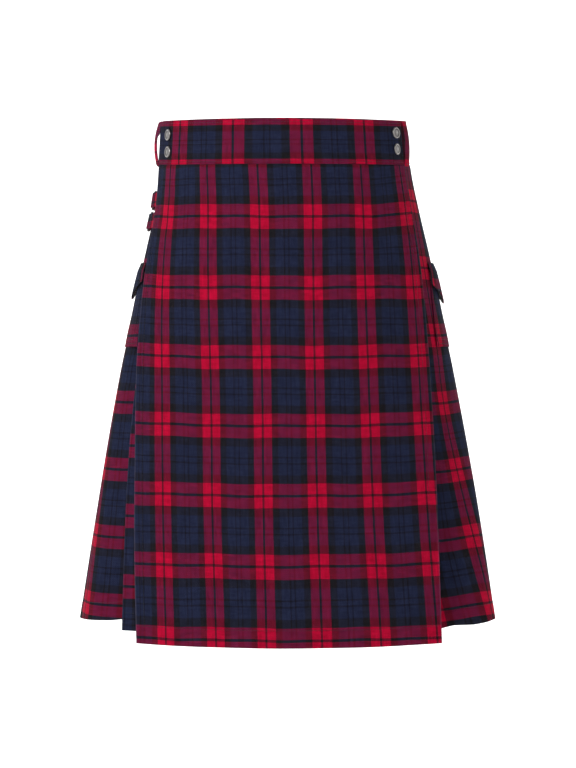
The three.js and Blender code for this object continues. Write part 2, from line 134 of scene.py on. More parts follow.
LOOP_WIDTH, LOOP_FULLNESS, LOOP_TOP, LOOP_BOTTOM = 12, 0.75, 25, -28
LOOP_CUT, LOOP_DOUBLE = 56, 32  # length of a loop, and what folding its whole length double would add
HIP_LAYER = 0.7
STRAP_WIDTH, STRAP_START, STRAP_TAIL, TAB_START, TAB_TAIL = 18, 191.6, 202, 262, 250
STRAP_HEIGHTS = {"upper": -61.6, "lower": -87.6}
RING_FROM, RING_TO, RING_HEIGHT, RING_BAR, RING_UNDER, RING_CORNER = 217.8, 238.2, 24, 2.4, 2.2, 3.2
POCKET_MIDDLE, POCKET_WIDTH, POCKET_TOP, POCKET_BOTTOM = 245, 92, -151, -239
POCKET_LAYER, POCKET_CLOTH = 0.35, 0.9
POCKET_SWELL, POCKET_WAVE, POCKET_SAG = 0.18, 0.175, 0.25
# Where the hips hang in under the flaps: how far, and the middle and reach of that in height and in arc length.
HOLLOW_DEPTH, HOLLOW_HEIGHT, HOLLOW_TALL, HOLLOW_PLACE, HOLLOW_WIDE = 1.5, -200, 38, 240, 60
FLAP_WIDTH, FLAP_TOP, FLAP_SIDES, FLAP_DROP, FLAP_THICK = 96, -139, 27, 48, 1
FLAP_SHORTER = {-1: 5, 1: 0}  # by side: the photo shows the left flap shorter
FLAP_STEP_END, FLAP_STEP, FLAP_FLARE = 10, 1.9, 1.5  # the step over the pocket's top, then the flare to the point
CAP_RADIUS, CAP_HEIGHT, CAP_SEAT = 6.8, 2.4, 0.1
BAND_LEAN = 0.07  # how far the caps look up

# --- Tartan ---
STRIPE_REPEAT = 62.5  # across the cloth
BAND_REPEAT = 81.8  # down the cloth
# Where the red stripes fall on the over apron: height, then the arc length of each stripe's middle.
APRON_STRIPES = table(
    (-29, -152.8, -94.7, -32.3, 30.5, 91.3, 153.1),
    (-137, -157.2, -94.2, -31.4, 30.2, 91.8, 158.3),
    (-303, -150.7, -88.7, -28.4, 32.4, 96, 163.2),
    (-438, -146, -86.4, -26.8, 35, 100, 168.2),
    (-547, -141.6, -82.6, -24.2, 38.8, 106.2, 174.8),
)
# Heights of the middles of the over apron's red bands at the front centre, with one more past each end.
APRON_BANDS = np.array([-6.3, -88.1, -172, -253.2, -332.6, -413.4, -494.4, -579.2, -661])
# The red stripe of the right hip panel: height, arc length, repeat of the stripes next to it.
RIGHT_STRIPE = table(
    (0, 176, 62.5),
    (-57, 178.8, 62.5),
    (-135, 184.8, 62.5),
    (-225, 199, 58),
    (-298, 208.8, 54),
    (-390, 231, 63),
    (-466, 251, 78),
    (-543, 273, 84),
    (-590, 286, 86),
)
# How far ahead of the left hip fold its red stripe lies: height, arc length.
LEFT_STRIPE = table((0, 59), (-200, 50), (-300, 45), (-440, 50), (-590, 55.5))
LEFT_REPEAT = 79
STRIPE_PLACE, STRIPE_GAP = 1, 2
STRIPE_REACH = 16  # past this far from the red stripe of the right hip, the stripes lie at their usual distance
# Red bands down the skirt: height of one, distance between them, how far they sink by the hem's far side, and the arc
# lengths between which they sink.
FIRST_BANDS = (-356.6, 81.9, 0, 215, 300)
LEFT_BANDS = (-226.4, 79.4, 3, 215, 300)
RIGHT_BANDS = (-65, 80.7, 6.5, 196, 262)
FIRST_FOLD_PLACE, RIGHT_FOLD_PLACE = 0.52, 0.9  # in the repeat, at the first pleat's fold and at the right folds
PLEAT_SLIP = 0.36  # how far a pleat's stripes lie ahead of those of the pleat before it, in repeats
UNDER_PLACE, UNDER_BAND = 0.31, -52
# How far the over apron's bands sag by its edges, at the waist and at the hem, how far from its middle that is, and
# how much more the right edge sags near the top.
APRON_SAG, SAG_REACH, APRON_PULL = (4.4, 1.4), 178, 4.6
FLAP_BANDS = {-1: -205.0, 1: -172.0}  # height of a red band on the left and the right flap
FLAP_PLACE = 0.9  # place in the repeat at the middle of a flap


# --- The form ---
def mix(a, b, t):
    return a + (b - a) * t


def smooth(a, b, x):
    t = np.clip((x - a) / (b - a), 0, 1)
    return t * t * (3 - 2 * t)


def bell(x):
    return np.exp(-(x**2))


def down_table(rows, column, z):
    """A smooth value down a table whose rows are sorted from the top down."""
    z = np.asarray(z, float)
    zs, vs = rows[:, 0], rows[:, column]
    last = len(zs) - 2
    i = np.searchsorted(-zs[1:-1], -z, side="left")
    slopes = np.diff(vs) / np.diff(zs)
    before = np.where(i > 0, (slopes[np.maximum(i - 1, 0)] + slopes[i]) / 2, slopes[i])
    after = np.where(i < last, (slopes[np.minimum(i + 1, last)] + slopes[i]) / 2, slopes[i])
    span = zs[i + 1] - zs[i]
    t = (z - zs[i]) / span
    t2, t3 = t**2, t**3
    ends = (2 * t3 - 3 * t2 + 1) * vs[i] + (3 * t2 - 2 * t3) * vs[i + 1]
    return ends + (t3 - 2 * t2 + t) * span * before + (t3 - t2) * span * after


LEVELS = np.arange(64.0, -600.0, -1.0)
LEVEL_FORM = {c: down_table(SECTIONS, c, LEVELS) for c in (HALF, MID_X, MID_Y, FRONT, BACK)}
ARC_STEPS = 720
PLACE_STEPS = 1200


def plan_point(form, angle, out):
    sin, cos = np.sin(angle), np.cos(angle)
    depth = np.where(cos > 0, form[FRONT], form[BACK])
    nx, ny = depth * sin, -form[HALF] * cos
    size = np.hypot(nx, ny)
    return form[MID_X] + form[HALF] * sin + out * nx / size, form[MID_Y] - depth * cos + out * ny / size


def measure_levels():
    """For each level, the length half-way round, and the angle at each of PLACE_STEPS equal parts of that length."""
    angles = np.linspace(0, math.pi, ARC_STEPS + 1)
    x, y = plan_point({c: v[:, None] for c, v in LEVEL_FORM.items()}, angles[None, :], 0)
    steps = np.hypot(np.diff(x, axis=1), np.diff(y, axis=1))
    lengths = np.concatenate([np.zeros((len(LEVELS), 1)), np.cumsum(steps, axis=1)], axis=1)
    parts = np.linspace(0, 1, PLACE_STEPS + 1)
    turned = np.array([np.interp(parts * row[-1], row, angles) for row in lengths])
    return lengths[:, -1], turned


LEVEL_LENGTH, LEVEL_ANGLE = measure_levels()


def at_level(values, z):
    return np.interp(-np.asarray(z, float), -LEVELS, values)


def half_length(z):
    return at_level(LEVEL_LENGTH, z)


def angle_at(z, s):
    z, s = np.broadcast_arrays(np.asarray(z, float), np.asarray(s, float))
    half = half_length(z)
    arc = np.where(s > half, s - 2 * half, s)
    arc = np.where(arc < -half, arc + 2 * half, arc)
    across = np.abs(arc) / half * PLACE_STEPS
    j = np.clip(across.astype(int), 0, PLACE_STEPS - 1)
    down = LEVELS[0] - z
    i = np.clip(down.astype(int), 0, len(LEVELS) - 2)
    fj, fi = across - j, down - i
    near = mix(LEVEL_ANGLE[i, j], LEVEL_ANGLE[i, j + 1], fj)
    far = mix(LEVEL_ANGLE[i + 1, j], LEVEL_ANGLE[i + 1, j + 1], fj)
    return np.sign(arc) * mix(near, far, fi)


def at_angle(angle, z, out):
    z = np.asarray(z, float)
    form = {c: at_level(v, z) for c, v in LEVEL_FORM.items()}
    x, y = plan_point(form, angle, out)
    return np.stack(np.broadcast_arrays(x, y, z), axis=-1)


def on_form(s, z, out):
    return at_angle(angle_at(z, s), z, out)


def waist_rise(angle):
    return BACK_RISE * ((1 - np.cos(angle)) / 2) ** 2 + SIDE_RISE * np.sin(angle) ** 2


def seam_height(place_at):
    """The height of a cloth's top edge at the waist seam, where place_at gives its arc length at a height."""
    z = WAIST_SEAM
    for _ in range(4):
        z = WAIST_SEAM + waist_rise(angle_at(z, place_at(z)))
    return z


def hem_height(rows, s):
    return np.interp(s, rows[:, 0], rows[:, 1])


def down_skirt(z):
    """0 at the waist seam and 1 at the hem."""
    return np.clip((z + BAND_HEIGHT / 2) / (FIRST_PLEAT_HEM + BAND_HEIGHT / 2), 0, 1)


# --- Meshes ---
def make_mesh(name, points, faces, uv=None, wear=None):
    """A mesh from points in millimetres and the faces as given. uv is the place in the tartan at each point."""
    mesh = bpy.data.meshes.new(name)
    mesh.from_pydata((np.asarray(points) * MM).tolist(), [], [list(map(int, f)) for f in faces])
    if uv is not None:
        layer = mesh.uv_layers.new(name="cloth")
        corners = np.zeros(len(mesh.loops), np.int32)
        mesh.loops.foreach_get("vertex_index", corners)
        layer.data.foreach_set("uv", np.asarray(uv, np.float32)[corners].ravel())
    if wear is not None:
        attribute = mesh.attributes.new("wear", "FLOAT", "POINT")
        attribute.data.foreach_set("value", np.asarray(wear, np.float32).ravel())
    mesh.polygons.foreach_set("use_smooth", [True] * len(mesh.polygons))
    mesh.update()
    obj = bpy.data.objects.new(name, mesh)
    bpy.context.scene.collection.objects.link(obj)
    return obj


def tube_faces(index):
    """Quads between rows of points, each row closed on itself."""
    ahead = np.roll(index, -1, 1)
    return np.stack([index[:-1], ahead[:-1], ahead[1:], index[1:]], -1).reshape(-1, 4)


def facing_out(points, faces):
    """The quads turned so that the closed shape has a positive volume."""
    p = points[faces]
    volume = np.einsum("ij,ij->i", p[:, 0], np.cross(p[:, 1], p[:, 2])).sum()
    volume += np.einsum("ij,ij->i", p[:, 0], np.cross(p[:, 2], p[:, 3])).sum()
    return faces if volume > 0 else faces[:, ::-1]


def cloth_shell(name, outer, inner, uv, rim_push=0.4, wear=None):
    """A closed cloth wall from a grid of outer points and one of inner points (rows, columns, 3), its rim rounded."""
    rows, columns = outer.shape[:2]
    count = rows * columns
    index = np.arange(count).reshape(rows, columns)
    a, b, c, d = index[:-1, :-1], index[:-1, 1:], index[1:, 1:], index[1:, :-1]
    front = np.stack([a, b, c, d], -1).reshape(-1, 4)
    back = front[:, ::-1] + count
    ring = np.concatenate([index[0, :-1], index[:-1, -1], index[-1, :0:-1], index[:0:-1, 0]])
    thick = np.linalg.norm(outer - inner, axis=-1)
    away = np.zeros_like(outer)
    away[:, 0] += unit(outer[:, 0] - outer[:, 1])
    away[:, -1] += unit(outer[:, -1] - outer[:, -2])
    away[0] += unit(outer[0] - outer[1])
    away[-1] += unit(outer[-1] - outer[-2])
    middle = (outer + inner) / 2 + away * (rim_push * thick)[..., None]
    rim = middle.reshape(-1, 3)[ring]
    points = np.concatenate([outer.reshape(-1, 3), inner.reshape(-1, 3), rim])
    here = np.arange(len(ring))
    after = np.roll(here, -1)
    first = 2 * count
    upper = np.stack([ring[after], ring[here], first + here, first + after], -1)
    lower = np.stack([first + after, first + here, ring[here] + count, ring[after] + count], -1)
    faces = facing_out(points, np.concatenate([front, back, upper, lower]))
    flat_uv = uv.reshape(-1, 2)
    all_uv = np.concatenate([flat_uv, flat_uv, flat_uv[ring]])
    worn_and_lit = np.zeros(count) if wear is None else wear.reshape(-1)
    # Every rim takes the full value: worn nap and a painted highlight along the cloth's edges.
    all_wear = np.concatenate([worn_and_lit, worn_and_lit, np.maximum(worn_and_lit[ring], 1)])
    return make_mesh(name, points, faces, all_uv, all_wear)


def unit(v):
    return v / np.maximum(np.linalg.norm(v, axis=-1, keepdims=True), 1e-9)


def spread(start, end, step, *dense):
    """Places from start to end about a step apart, and closer near each dense (place, reach, step)."""
    places = [start]
    while places[-1] < end - 1e-6:
        at = places[-1]
        here = step
        for place, reach, fine in dense:
            if abs(at - place) <= reach:
                here = min(here, fine)
        places.append(min(at + here, end))
    return np.array(places)


def finish_piece(obj, material, replaced=()):
    obj.data.materials.append(material)
    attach(obj, "root")
    if replaced:
        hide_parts(*replaced)


def cloth_piece(node, outer, inner, uv, flat, held, rests_on=(), area=None, lining=False, **shell):
    """The cloth that takes a CAD node's place. Its flat size in metres, flat, is not used."""
    obj = cloth_shell(f"{node}_cloth", outer, inner, uv, **shell)
    material, slot = (LINING, "black_lining") if lining else (TARTAN, "tartan")
    finish_piece(obj, material, [node])


# --- Materials ---
class Nodes:
    """Builds one material's nodes."""

    def __init__(self, name):
        self.material = bpy.data.materials.new(name)
        self.material.use_nodes = True
        self.tree = self.material.node_tree
        self.shader = self.tree.nodes["Principled BSDF"]

    def feed(self, socket, value):
        if isinstance(value, bpy.types.NodeSocket):
            self.tree.links.new(value, socket)
        else:
            socket.default_value = value

    def add(self, kind, **values):
        """A new node. Each value is one of its settings, or goes into its socket of that name."""
        node = self.tree.nodes.new(kind)
        for key, value in values.items():
            if hasattr(node, key):
                setattr(node, key, value)
            else:
                self.feed(node.inputs[key], value)
        return node

    def math(self, operation, a, b=0.0, c=0.0):
        node = self.add("ShaderNodeMath", operation=operation)
        for socket, value in zip(node.inputs, (a, b, c)):
            self.feed(socket, value)
        return node.outputs[0]

    def times(self, a, b, plus=None):
        return self.math("MULTIPLY", a, b) if plus is None else self.math("MULTIPLY_ADD", a, b, plus)

    def colour_mix(self, blend, factor, a, b):
        node = self.add("ShaderNodeMix", data_type="RGBA", blend_type=blend, Factor=factor)
        self.feed(node.inputs[6], a)
        self.feed(node.inputs[7], b)
        return node.outputs[2]

    def combine(self, x, y, z):
        return self.add("ShaderNodeCombineXYZ", X=x, Y=y, Z=z).outputs[0]

    def split(self, vector):
        return self.add("ShaderNodeSeparateXYZ", Vector=vector).outputs

    def noise(self, vector, scale, detail=2.0, roughness=0.5):
        values = {"Vector": vector, "Scale": scale, "Detail": detail, "Roughness": roughness}
        return self.add("ShaderNodeTexNoise", **values).outputs["Fac"]

    def ramp(self, factor, stops, interpolation="LINEAR"):
        node = self.add("ShaderNodeValToRGB")
        node.color_ramp.interpolation = interpolation
        elements = node.color_ramp.elements
        while len(elements) < len(stops):
            elements.new(1.0)
        for element, (place, colour) in zip(elements, stops):
            element.position = place
            element.color = (*colour, 1)
        self.feed(node.inputs[0], factor)
        return node.outputs[0]

    def attribute(self, name):
        return self.add("ShaderNodeAttribute", attribute_name=name).outputs["Fac"]

    def object_place(self):
        return self.add("ShaderNodeTexCoord").outputs["Object"]

    def bump(self, height, strength, distance, **normal):
        values = {"Strength": strength, "Distance": distance, "Height": height, **normal}
        return self.add("ShaderNodeBump", **values).outputs["Normal"]

    def set(self, **values):
        for key, value in values.items():
            self.feed(self.shader.inputs[key.replace("_", " ")], value)


MIX_POWER = 2.7  # threads of two dyes look darker together than their average: they mix in this root of their light


def dye(*light):
    return tuple(c ** (1 / MIX_POWER) for c in light)


RED = dye(0.385, 0.0027, 0.027)
NAVY = dye(0.0130, 0.0168, 0.0420)
BLACK = dye(0.0105, 0.0092, 0.0115)
FINE = dye(0.0078, 0.0075, 0.0120)
# Pale lavender for worn nap with a painted highlight, on rims, fold turns and the over apron's edges.
FADED_AND_LIT = dye(0.2, 0.17, 0.22)
STREAKS, WIDE_STREAKS, STREAK_FLOOR = 0.62, 0.38, 0.50
# Half of the tartan's repeat, from the middle of a red stripe to the middle of the navy. The other half mirrors it.
SETT = [(0, BLACK), (0.0165, RED), (0.17, BLACK), (0.292, NAVY), (0.445, FINE), (0.467, NAVY)]
THREAD = 0.62  # millimetres from one thread to the next
LINING_THREADS = 5200.0  # turns of phase a metre


def tartan_material():
    """Brushed twill: each thread's colour comes from its place in the repeat, and the two directions cross."""
    n = Nodes("tartan_cloth")
    u, v, _ = n.split(n.add("ShaderNodeUVMap", uv_map="cloth").outputs[0])
    place = n.object_place()
    fuzz = n.noise(place, 900, 3, 0.7)
    blur = n.times(n.math("SUBTRACT", fuzz, 0.5), 0.011)

    def threads(across, along, repeat, seed):
        fold = n.math("ABSOLUTE", n.math("WRAP", n.math("ADD", across, blur), 0.5, -0.5))
        colour = n.ramp(fold, SETT, "CONSTANT")
        gain = STREAK_FLOOR
        for thick, long, start, rough, share in ((1.1, 5.5, 0, 0.6, STREAKS), (3.4, 2.5, 3, 0.5, WIDE_STREAKS)):
            lanes = n.combine(n.times(across, repeat / thick), n.times(along, long), seed + start)
            gain = n.times(n.noise(lanes, 1.0, 2, rough), share, gain)
        return n.colour_mix("MULTIPLY", 1.0, colour, n.combine(gain, gain, gain))

    warp = threads(u, v, STRIPE_REPEAT, 0.0)
    weft = threads(v, u, BAND_REPEAT, 7.0)
    column = n.times(u, STRIPE_REPEAT / THREAD)
    row = n.times(v, BAND_REPEAT / THREAD)
    twill = n.math("SINE", n.times(n.math("ADD", column, row), math.pi / 2))
    crossed = n.colour_mix("MIX", n.times(twill, 0.16, 0.5), warp, weft)
    # Painted highlight with worn nap: where the point attribute is high, the cloth turns pale lavender.
    worn_and_lit = n.times(n.attribute("wear"), n.times(fuzz, 0.6, 0.1))
    faded_and_lit = n.colour_mix("MIX", n.times(worn_and_lit, 0.95), crossed, (*FADED_AND_LIT, 1))
    light = n.add("ShaderNodeGamma", Color=faded_and_lit, Gamma=MIX_POWER).outputs[0]
    mottle = n.times(n.noise(place, 38, 3, 0.6), 0.3, 0.85)
    base = n.colour_mix("MULTIPLY", 1.0, light, n.combine(mottle, mottle, mottle))
    normal = n.bump(n.times(twill, 0.5, 0.5), 0.35, 0.0003)
    normal = n.bump(fuzz, 0.3, 0.0005, Normal=normal)
    n.set(Base_Color=base, Normal=normal, Roughness=n.times(fuzz, 0.16, 0.8), Specular_IOR_Level=0.045)
    n.set(Sheen_Weight=0.025, Sheen_Roughness=0.3, Sheen_Tint=(0.85, 0.82, 1.0, 1))
    return n.material


def lining_material():
    """Plain black lining, with a fine square weave."""
    n = Nodes("black_lining_cloth")
    place = n.object_place()
    x, y, z = n.split(place)
    across = n.math("SINE", n.times(n.math("ADD", x, y), LINING_THREADS))
    along = n.math("SINE", n.times(z, LINING_THREADS))
    weave = n.times(n.times(across, along), 0.5, 0.5)
    tone = n.times(n.noise(place, 220, 3), 0.5, 0.5)
    shade = n.times(tone, n.times(weave, 0.3, 0.7))
    base = n.ramp(shade, [(0.3, (0.006, 0.006, 0.008)), (1, (0.03, 0.028, 0.034))])
    n.set(Base_Color=base, Normal=n.bump(weave, 0.3, 0.0002), Roughness=0.62)
    n.set(Specular_IOR_Level=0.3, Sheen_Weight=0.1)
    return n.material


def metal_material():
    """Antique silver: rubbed bright; its point attribute puts grime in hollows and painted shade by the cloth."""
    n = Nodes("antique_silver")
    place = n.object_place()
    cloud = n.noise(place, 700, 4, 0.6)
    scratch = n.noise(place, 2600, 2, 0.7)
    grime_and_shade = n.times(n.attribute("wear"), n.times(cloud, 0.7, 0.55))
    base = n.colour_mix("MIX", n.math("MINIMUM", grime_and_shade, 1.0), (0.27, 0.255, 0.25, 1), (0.025, 0.023, 0.024, 1))
    rough = n.math("ADD", n.times(grime_and_shade, 0.3), n.times(cloud, 0.2, 0.16))
    n.set(Base_Color=base, Metallic=1.0, Roughness=rough, Normal=n.bump(scratch, 0.12, 0.0001))
    return n.material


def thread_material(name, low, high):
    """Twisted sewing thread."""
    n = Nodes(name)
    twist = n.noise(n.object_place(), 2400, 2, 0.6)
    base = n.ramp(twist, [(0.3, low), (0.7, high)])
    n.set(Base_Color=base, Roughness=0.6, Normal=n.bump(twist, 0.4, 0.0001), Specular_IOR_Level=0.3)
    return n.material


TARTAN = tartan_material()
LINING = lining_material()
METAL = metal_material()
DARK_THREAD = thread_material("dark_thread", (0.006, 0.007, 0.014), (0.02, 0.022, 0.04))
RED_THREAD = thread_material("red_thread", (0.09, 0.006, 0.018), (0.2, 0.012, 0.04))


# --- Creases ---
# Soft ridges and troughs that run down a cloth: arc length at the top, how far it moves by the hem, width, height at
# the hem (a trough is negative), and the height where it starts.
APRON_FLUTES = table(
    (-128, -8, 30, 1.7, -60),
    (-74, 4, 24, -1.3, -120),
    (-20, 2, 34, 1.1, -40),
    (38, 8, 26, -1.2, -180),
    (86, 6, 28, 1.3, -90),
    (136, 12, 22, -0.9, -150),
)
# The same for the hips and the back, on the form that all the pleats follow.
FORM_FLUTES = table(
    (-232, -14, 16, 1.6, -270),
    (-266, -22, 15, -1.8, -260),
    (-296, -34, 18, 1.5, -230),
    (-352, -50, 26, -2.2, -180),
    (-418, -70, 30, 2.4, -150),
    (228, 16, 17, -1.4, -260),
    (262, 24, 16, 1.6, -280),
    (300, 36, 18, -1.4, -240),
    (362, 52, 28, 2.3, -160),
    (410, 66, 26, -2.1, -200),
)
# Short creases: ends as arc length and height, width, depth.
APRON_CREASES = table(
    (104, -45, 137, -41, 2.2, 0.7),
    (112, -51, 141, -50, 2.4, 0.5),
    (-176, -70, -150, -104, 4.5, 0.5),
    (150, -66, 168, -118, 5, 0.55),
    (-40, -30, -37, -54, 2.5, 0.3),
    (62, -30, 60, -58, 3, 0.35),
    (-110, -30, -112, -48, 2.4, 0.3),
)


def flutes(rows, s, z):
    height = np.zeros(np.broadcast(s, z).shape)
    for start, drift, width, rise, top in rows:
        down = smooth(-top, 600, -z)
        middle = start + drift * np.clip((top - z) / (top + 590), 0, 1)
        height = height + rise * down * bell((s - middle) / width)
    return height


def hip_relief(s, z):
    """Folds of the hips and the back, and where the hips hang in a little under the pocket flaps."""
    hollow = bell((z - HOLLOW_HEIGHT) / HOLLOW_TALL) * bell((np.abs(s) - HOLLOW_PLACE) / HOLLOW_WIDE)
    return flutes(FORM_FLUTES, s, z) - HOLLOW_DEPTH * hollow


def creases(rows, s, z):
    depth = np.zeros(np.broadcast(s, z).shape)
    for s0, z0, s1, z1, width, deep in rows:
        along = ((s - s0) * (s1 - s0) + (z - z0) * (z1 - z0)) / ((s1 - s0) ** 2 + (z1 - z0) ** 2)
        t = np.clip(along, 0, 1)
        gap = np.hypot(s - mix(s0, s1, t), z - mix(z0, z1, t))
        ends = np.sin(np.pi * np.clip(along, 0.02, 0.98)) ** 0.5
        depth = depth + deep * ends * bell(gap / width)
    return depth


def seam_gathers(s, z, top, seed):
    """Small uneven gathers just below the waist seam."""
    wave = np.sin(s / 4.3 + seed) + 0.8 * np.sin(s / 7.1 + 2 * seed) + 0.6 * np.sin(s / 2.7 + 3 * seed)
    return 0.11 * wave * np.exp(-((top - z) / 13.0))


def seam_groove(z, top):
    """How far the cloth sinks in just under the waistband."""
    return 0.9 * bell((top - z) / 1.6)


def hem_relief(z, hem):
    """The turned-up hem is a little thicker, and its stitches pull the cloth in."""
    up = z - hem
    return 0.3 * (1 - smooth(HEM_TURN - 1, HEM_TURN + 3, up)) - 0.35 * bell((up - HEM_TURN) / 1.7)


# --- Stitches ---
STITCH_LENGTH, STITCH_PITCH, STITCH_WIDTH = 2.7, 3.5, 0.5


def stitch_line(path, out):
    """Points and quads of a row of stitches along a path (n, 3), with out (n, 3) the way out of the cloth."""
    steps = np.linalg.norm(np.diff(path, axis=0), axis=1)
    along = np.concatenate([[0], np.cumsum(steps)])
    starts = np.arange(STITCH_PITCH / 2, along[-1] - STITCH_LENGTH, STITCH_PITCH)
    if not len(starts):
        return np.zeros((0, 3)), np.zeros((0, 4), int)

    def at(values, where):
        return np.stack([np.interp(where, along, values[:, c]) for c in range(3)], -1)

    a, b = at(path, starts), at(path, starts + STITCH_LENGTH)
    up = unit(at(out, starts + STITCH_LENGTH / 2))
    run = unit(b - a)
    side = unit(np.cross(up, run))
    shares = np.array([0.0, 0.16, 0.5, 0.84, 1.0])
    sizes = np.array([0.25, 0.85, 1.0, 0.85, 0.25]) * STITCH_WIDTH / 2
    lift = np.array([-0.15, 0.12, 0.2, 0.12, -0.15])
    turns = np.linspace(0, 2 * np.pi, 6, endpoint=False)
    ring = np.stack([np.cos(turns), np.sin(turns)], -1)
    centre = a[:, None] + (b - a)[:, None] * shares[None, :, None] + up[:, None] * lift[None, :, None]
    spokes = side[:, None, None] * ring[None, None, :, :1] + up[:, None, None] * ring[None, None, :, 1:]
    points = centre[:, :, None] + spokes * sizes[None, :, None, None]
    count, rows, sides = points.shape[:3]
    index = np.arange(rows * sides).reshape(rows, sides)
    quads = tube_faces(index)
    caps = []
    for row, turn in ((0, -1), (rows - 1, 1)):
        r = index[row][::turn]
        caps += [[r[0], r[1], r[2], r[3]], [r[0], r[3], r[4], r[5]]]
    quads = np.concatenate([quads, caps])
    faces = (quads[None] + (np.arange(count) * rows * sides)[:, None, None]).reshape(-1, 4)
    return points.reshape(-1, 3), faces


def stitches(name, lines, material):
    """One piece from several rows of stitches, each a path and the way out along it."""
    points, faces, first = [], [], 0
    for path, out in lines:
        p, f = stitch_line(path, out)
        points.append(p)
        faces.append(f + first)
        first += len(p)
    finish_piece(make_mesh(name, np.concatenate(points), np.concatenate(faces)), material)


def row_on(surface, s, z, layer):
    """A row's path on a surface (a function of arc length, height and layer), with the way out of the surface."""
    path = surface(s, z, layer)
    return path, unit(surface(s, z, layer + 5) - path)


# --- Over apron ---
def apron_edge(column, z):
    return down_table(APRON_EDGES, column, z)


def apron_place(across, z):
    return mix(apron_edge(APRON_LEFT, z), apron_edge(APRON_RIGHT, z), across)


def apron_hem(across):
    return mix(APRON_HEM_MIDDLE, APRON_HEM_EDGE, (2 * across - 1) ** 2)


def apron_tartan(s, z):
    marks = np.stack([down_table(APRON_STRIPES, c, z) for c in range(1, APRON_STRIPES.shape[1])], -1)
    k = np.clip((s[..., None] > marks[..., 1:-1]).sum(-1), 0, marks.shape[-1] - 2)
    low = np.take_along_axis(marks, k[..., None], -1)[..., 0]
    high = np.take_along_axis(marks, k[..., None] + 1, -1)[..., 0]
    u = k + (s - low) / (high - low)
    sag = mix(*APRON_SAG, down_skirt(z)) * (s / SAG_REACH) ** 2
    sag = sag + APRON_PULL * smooth(-165, -90, z) * smooth(95, 170, s)
    v = np.interp(sag - z, -APRON_BANDS, np.arange(len(APRON_BANDS)))
    v = v + 0.005 * np.sin(s / 23 + z / 70) + 0.004 * np.sin(s / 9.7 - z / 110)
    return np.stack([u, v], -1)


def apron_layer(s, z, across, hem, top):
    edge_left = across * APRON_WIDTH
    edge_right = (1 - across) * APRON_WIDTH
    edge = np.minimum(edge_left, edge_right)
    turned = 0.25 * (1 - smooth(9, 13, edge)) - 0.2 * bell((edge - 11) / 1.5)
    curl = 1.6 * (1 - smooth(0, 42, edge_right)) * smooth(0.55, 1, down_skirt(z))
    relief = flutes(APRON_FLUTES, s, z) - creases(APRON_CREASES, s, z) + seam_gathers(s, z, top, 1.3)
    return apron_edge(APRON_OUT, z) + relief + turned + curl + hem_relief(z, hem) - seam_groove(z, top)


def make_over_apron():
    width = float(APRON_WIDTH)
    across = spread(0, width, 2.9, (0, 2, 0.6), (0, 16, 1.3), (width, 16, 1.3), (width, 2.2, 0.6)) / width
    down = spread(0, 560, 3.3, (0, 22, 2.2), (560, 27, 1.3)) / 560
    top = seam_height(lambda z: apron_place(across, z))[None, :]
    hem = apron_hem(across)[None, :]
    z = mix(top, hem, down[:, None])
    share = np.broadcast_to(across, z.shape)
    s = apron_place(share, z)
    layer = apron_layer(s, z, share, hem, top)
    # Worn nap and a painted highlight along the over apron's side edges, within about a millimetre.
    wear = bell(np.minimum(share, 1 - share) * width / 1.1) * 0.9
    outer, inner = on_form(s, z, layer), on_form(s, z, layer - CLOTH)
    cloth_piece("apron_over", outer, inner, apron_tartan(s, z), APRON_FLAT, "hung", ["band_front_cloth"], wear=wear)

    def row(s, z):
        low, high = apron_edge(APRON_LEFT, z), apron_edge(APRON_RIGHT, z)
        share = (s - low) / (high - low)
        return row_on(on_form, s, z, apron_layer(s, z, share, apron_hem(share), WAIST_SEAM) + 0.05)

    ramp = np.linspace(0.004, 0.996, 220)
    hem_z = apron_hem(ramp) + HEM_TURN
    z = np.linspace(-30, -566, 260)
    lines = [row(apron_place(ramp, hem_z), hem_z)]
    lines += [row(apron_edge(column, z) + inset, z) for column, inset in ((APRON_LEFT, 11), (APRON_RIGHT, -11))]
    stitches("apron_over_stitches", lines, DARK_THREAD)


# --- Under apron ---
def make_under_apron():
    s_row = np.linspace(*UNDER_APRON, 84)
    down = spread(0, 545, 7.5, (545, 26, 3)) / 545
    top = seam_height(lambda z: s_row)[None, :]
    z = mix(top, UNDER_HEM, down[:, None])
    s = np.broadcast_to(s_row, z.shape)
    share = down_skirt(z)
    wave = 1.6 * share * np.sin(s / 21 + 1.1) + 1.1 * share * np.sin(s / 13.5 + 0.3)
    layer = -mix(*UNDER_APRON_IN, share) + wave + hem_relief(z, UNDER_HEM)
    uv = np.stack([s / STRIPE_REPEAT + UNDER_PLACE, (UNDER_BAND - z) / BAND_REPEAT], -1)
    outer, inner = on_form(s, z, layer), on_form(s, z, layer - CLOTH)
    cloth_piece("apron_under", outer, inner, uv, UNDER_FLAT, "hung", ["band_under_cloth"])


# --- Pleated skirt ---
def folds_at(z, has_first):
    hip = down_table(SKIRT_LINES, HIP_FOLD, z)
    last = half_length(z) - SEAM
    folds = [down_table(SKIRT_LINES, FIRST_FOLD, z)] if has_first else []
    return folds + [mix(hip, last, k / PLEATS_A_SIDE) for k in range(PLEATS_A_SIDE + 1)]


def run_layer(k, s, z, folds, has_first):
    """The layer of the outer face of the run of cloth that ends at fold k."""
    if k == 0:
        if has_first:
            return np.zeros(np.broadcast(s, z).shape)
        dip = np.maximum(down_table(SKIRT_LINES, DIP, z), 0)
        return -dip * (1 - smooth(DIP_FROM, DIP_TO, s))
    down = down_skirt(z)
    stack = mix(*PLEAT_STACK, down)
    fold = folds[k - 1]
    ramp = mix(*PLEAT_RAMP, down)
    if k < len(folds):
        ramp = np.minimum(folds[k] - fold, ramp)
    risen = -2 * stack * (1 - smooth(0, 1, (s - fold) / ramp))
    hidden = run_layer(k - 1, s, z, folds, has_first) - 2 * stack
    return np.where(s <= fold, hidden, risen)


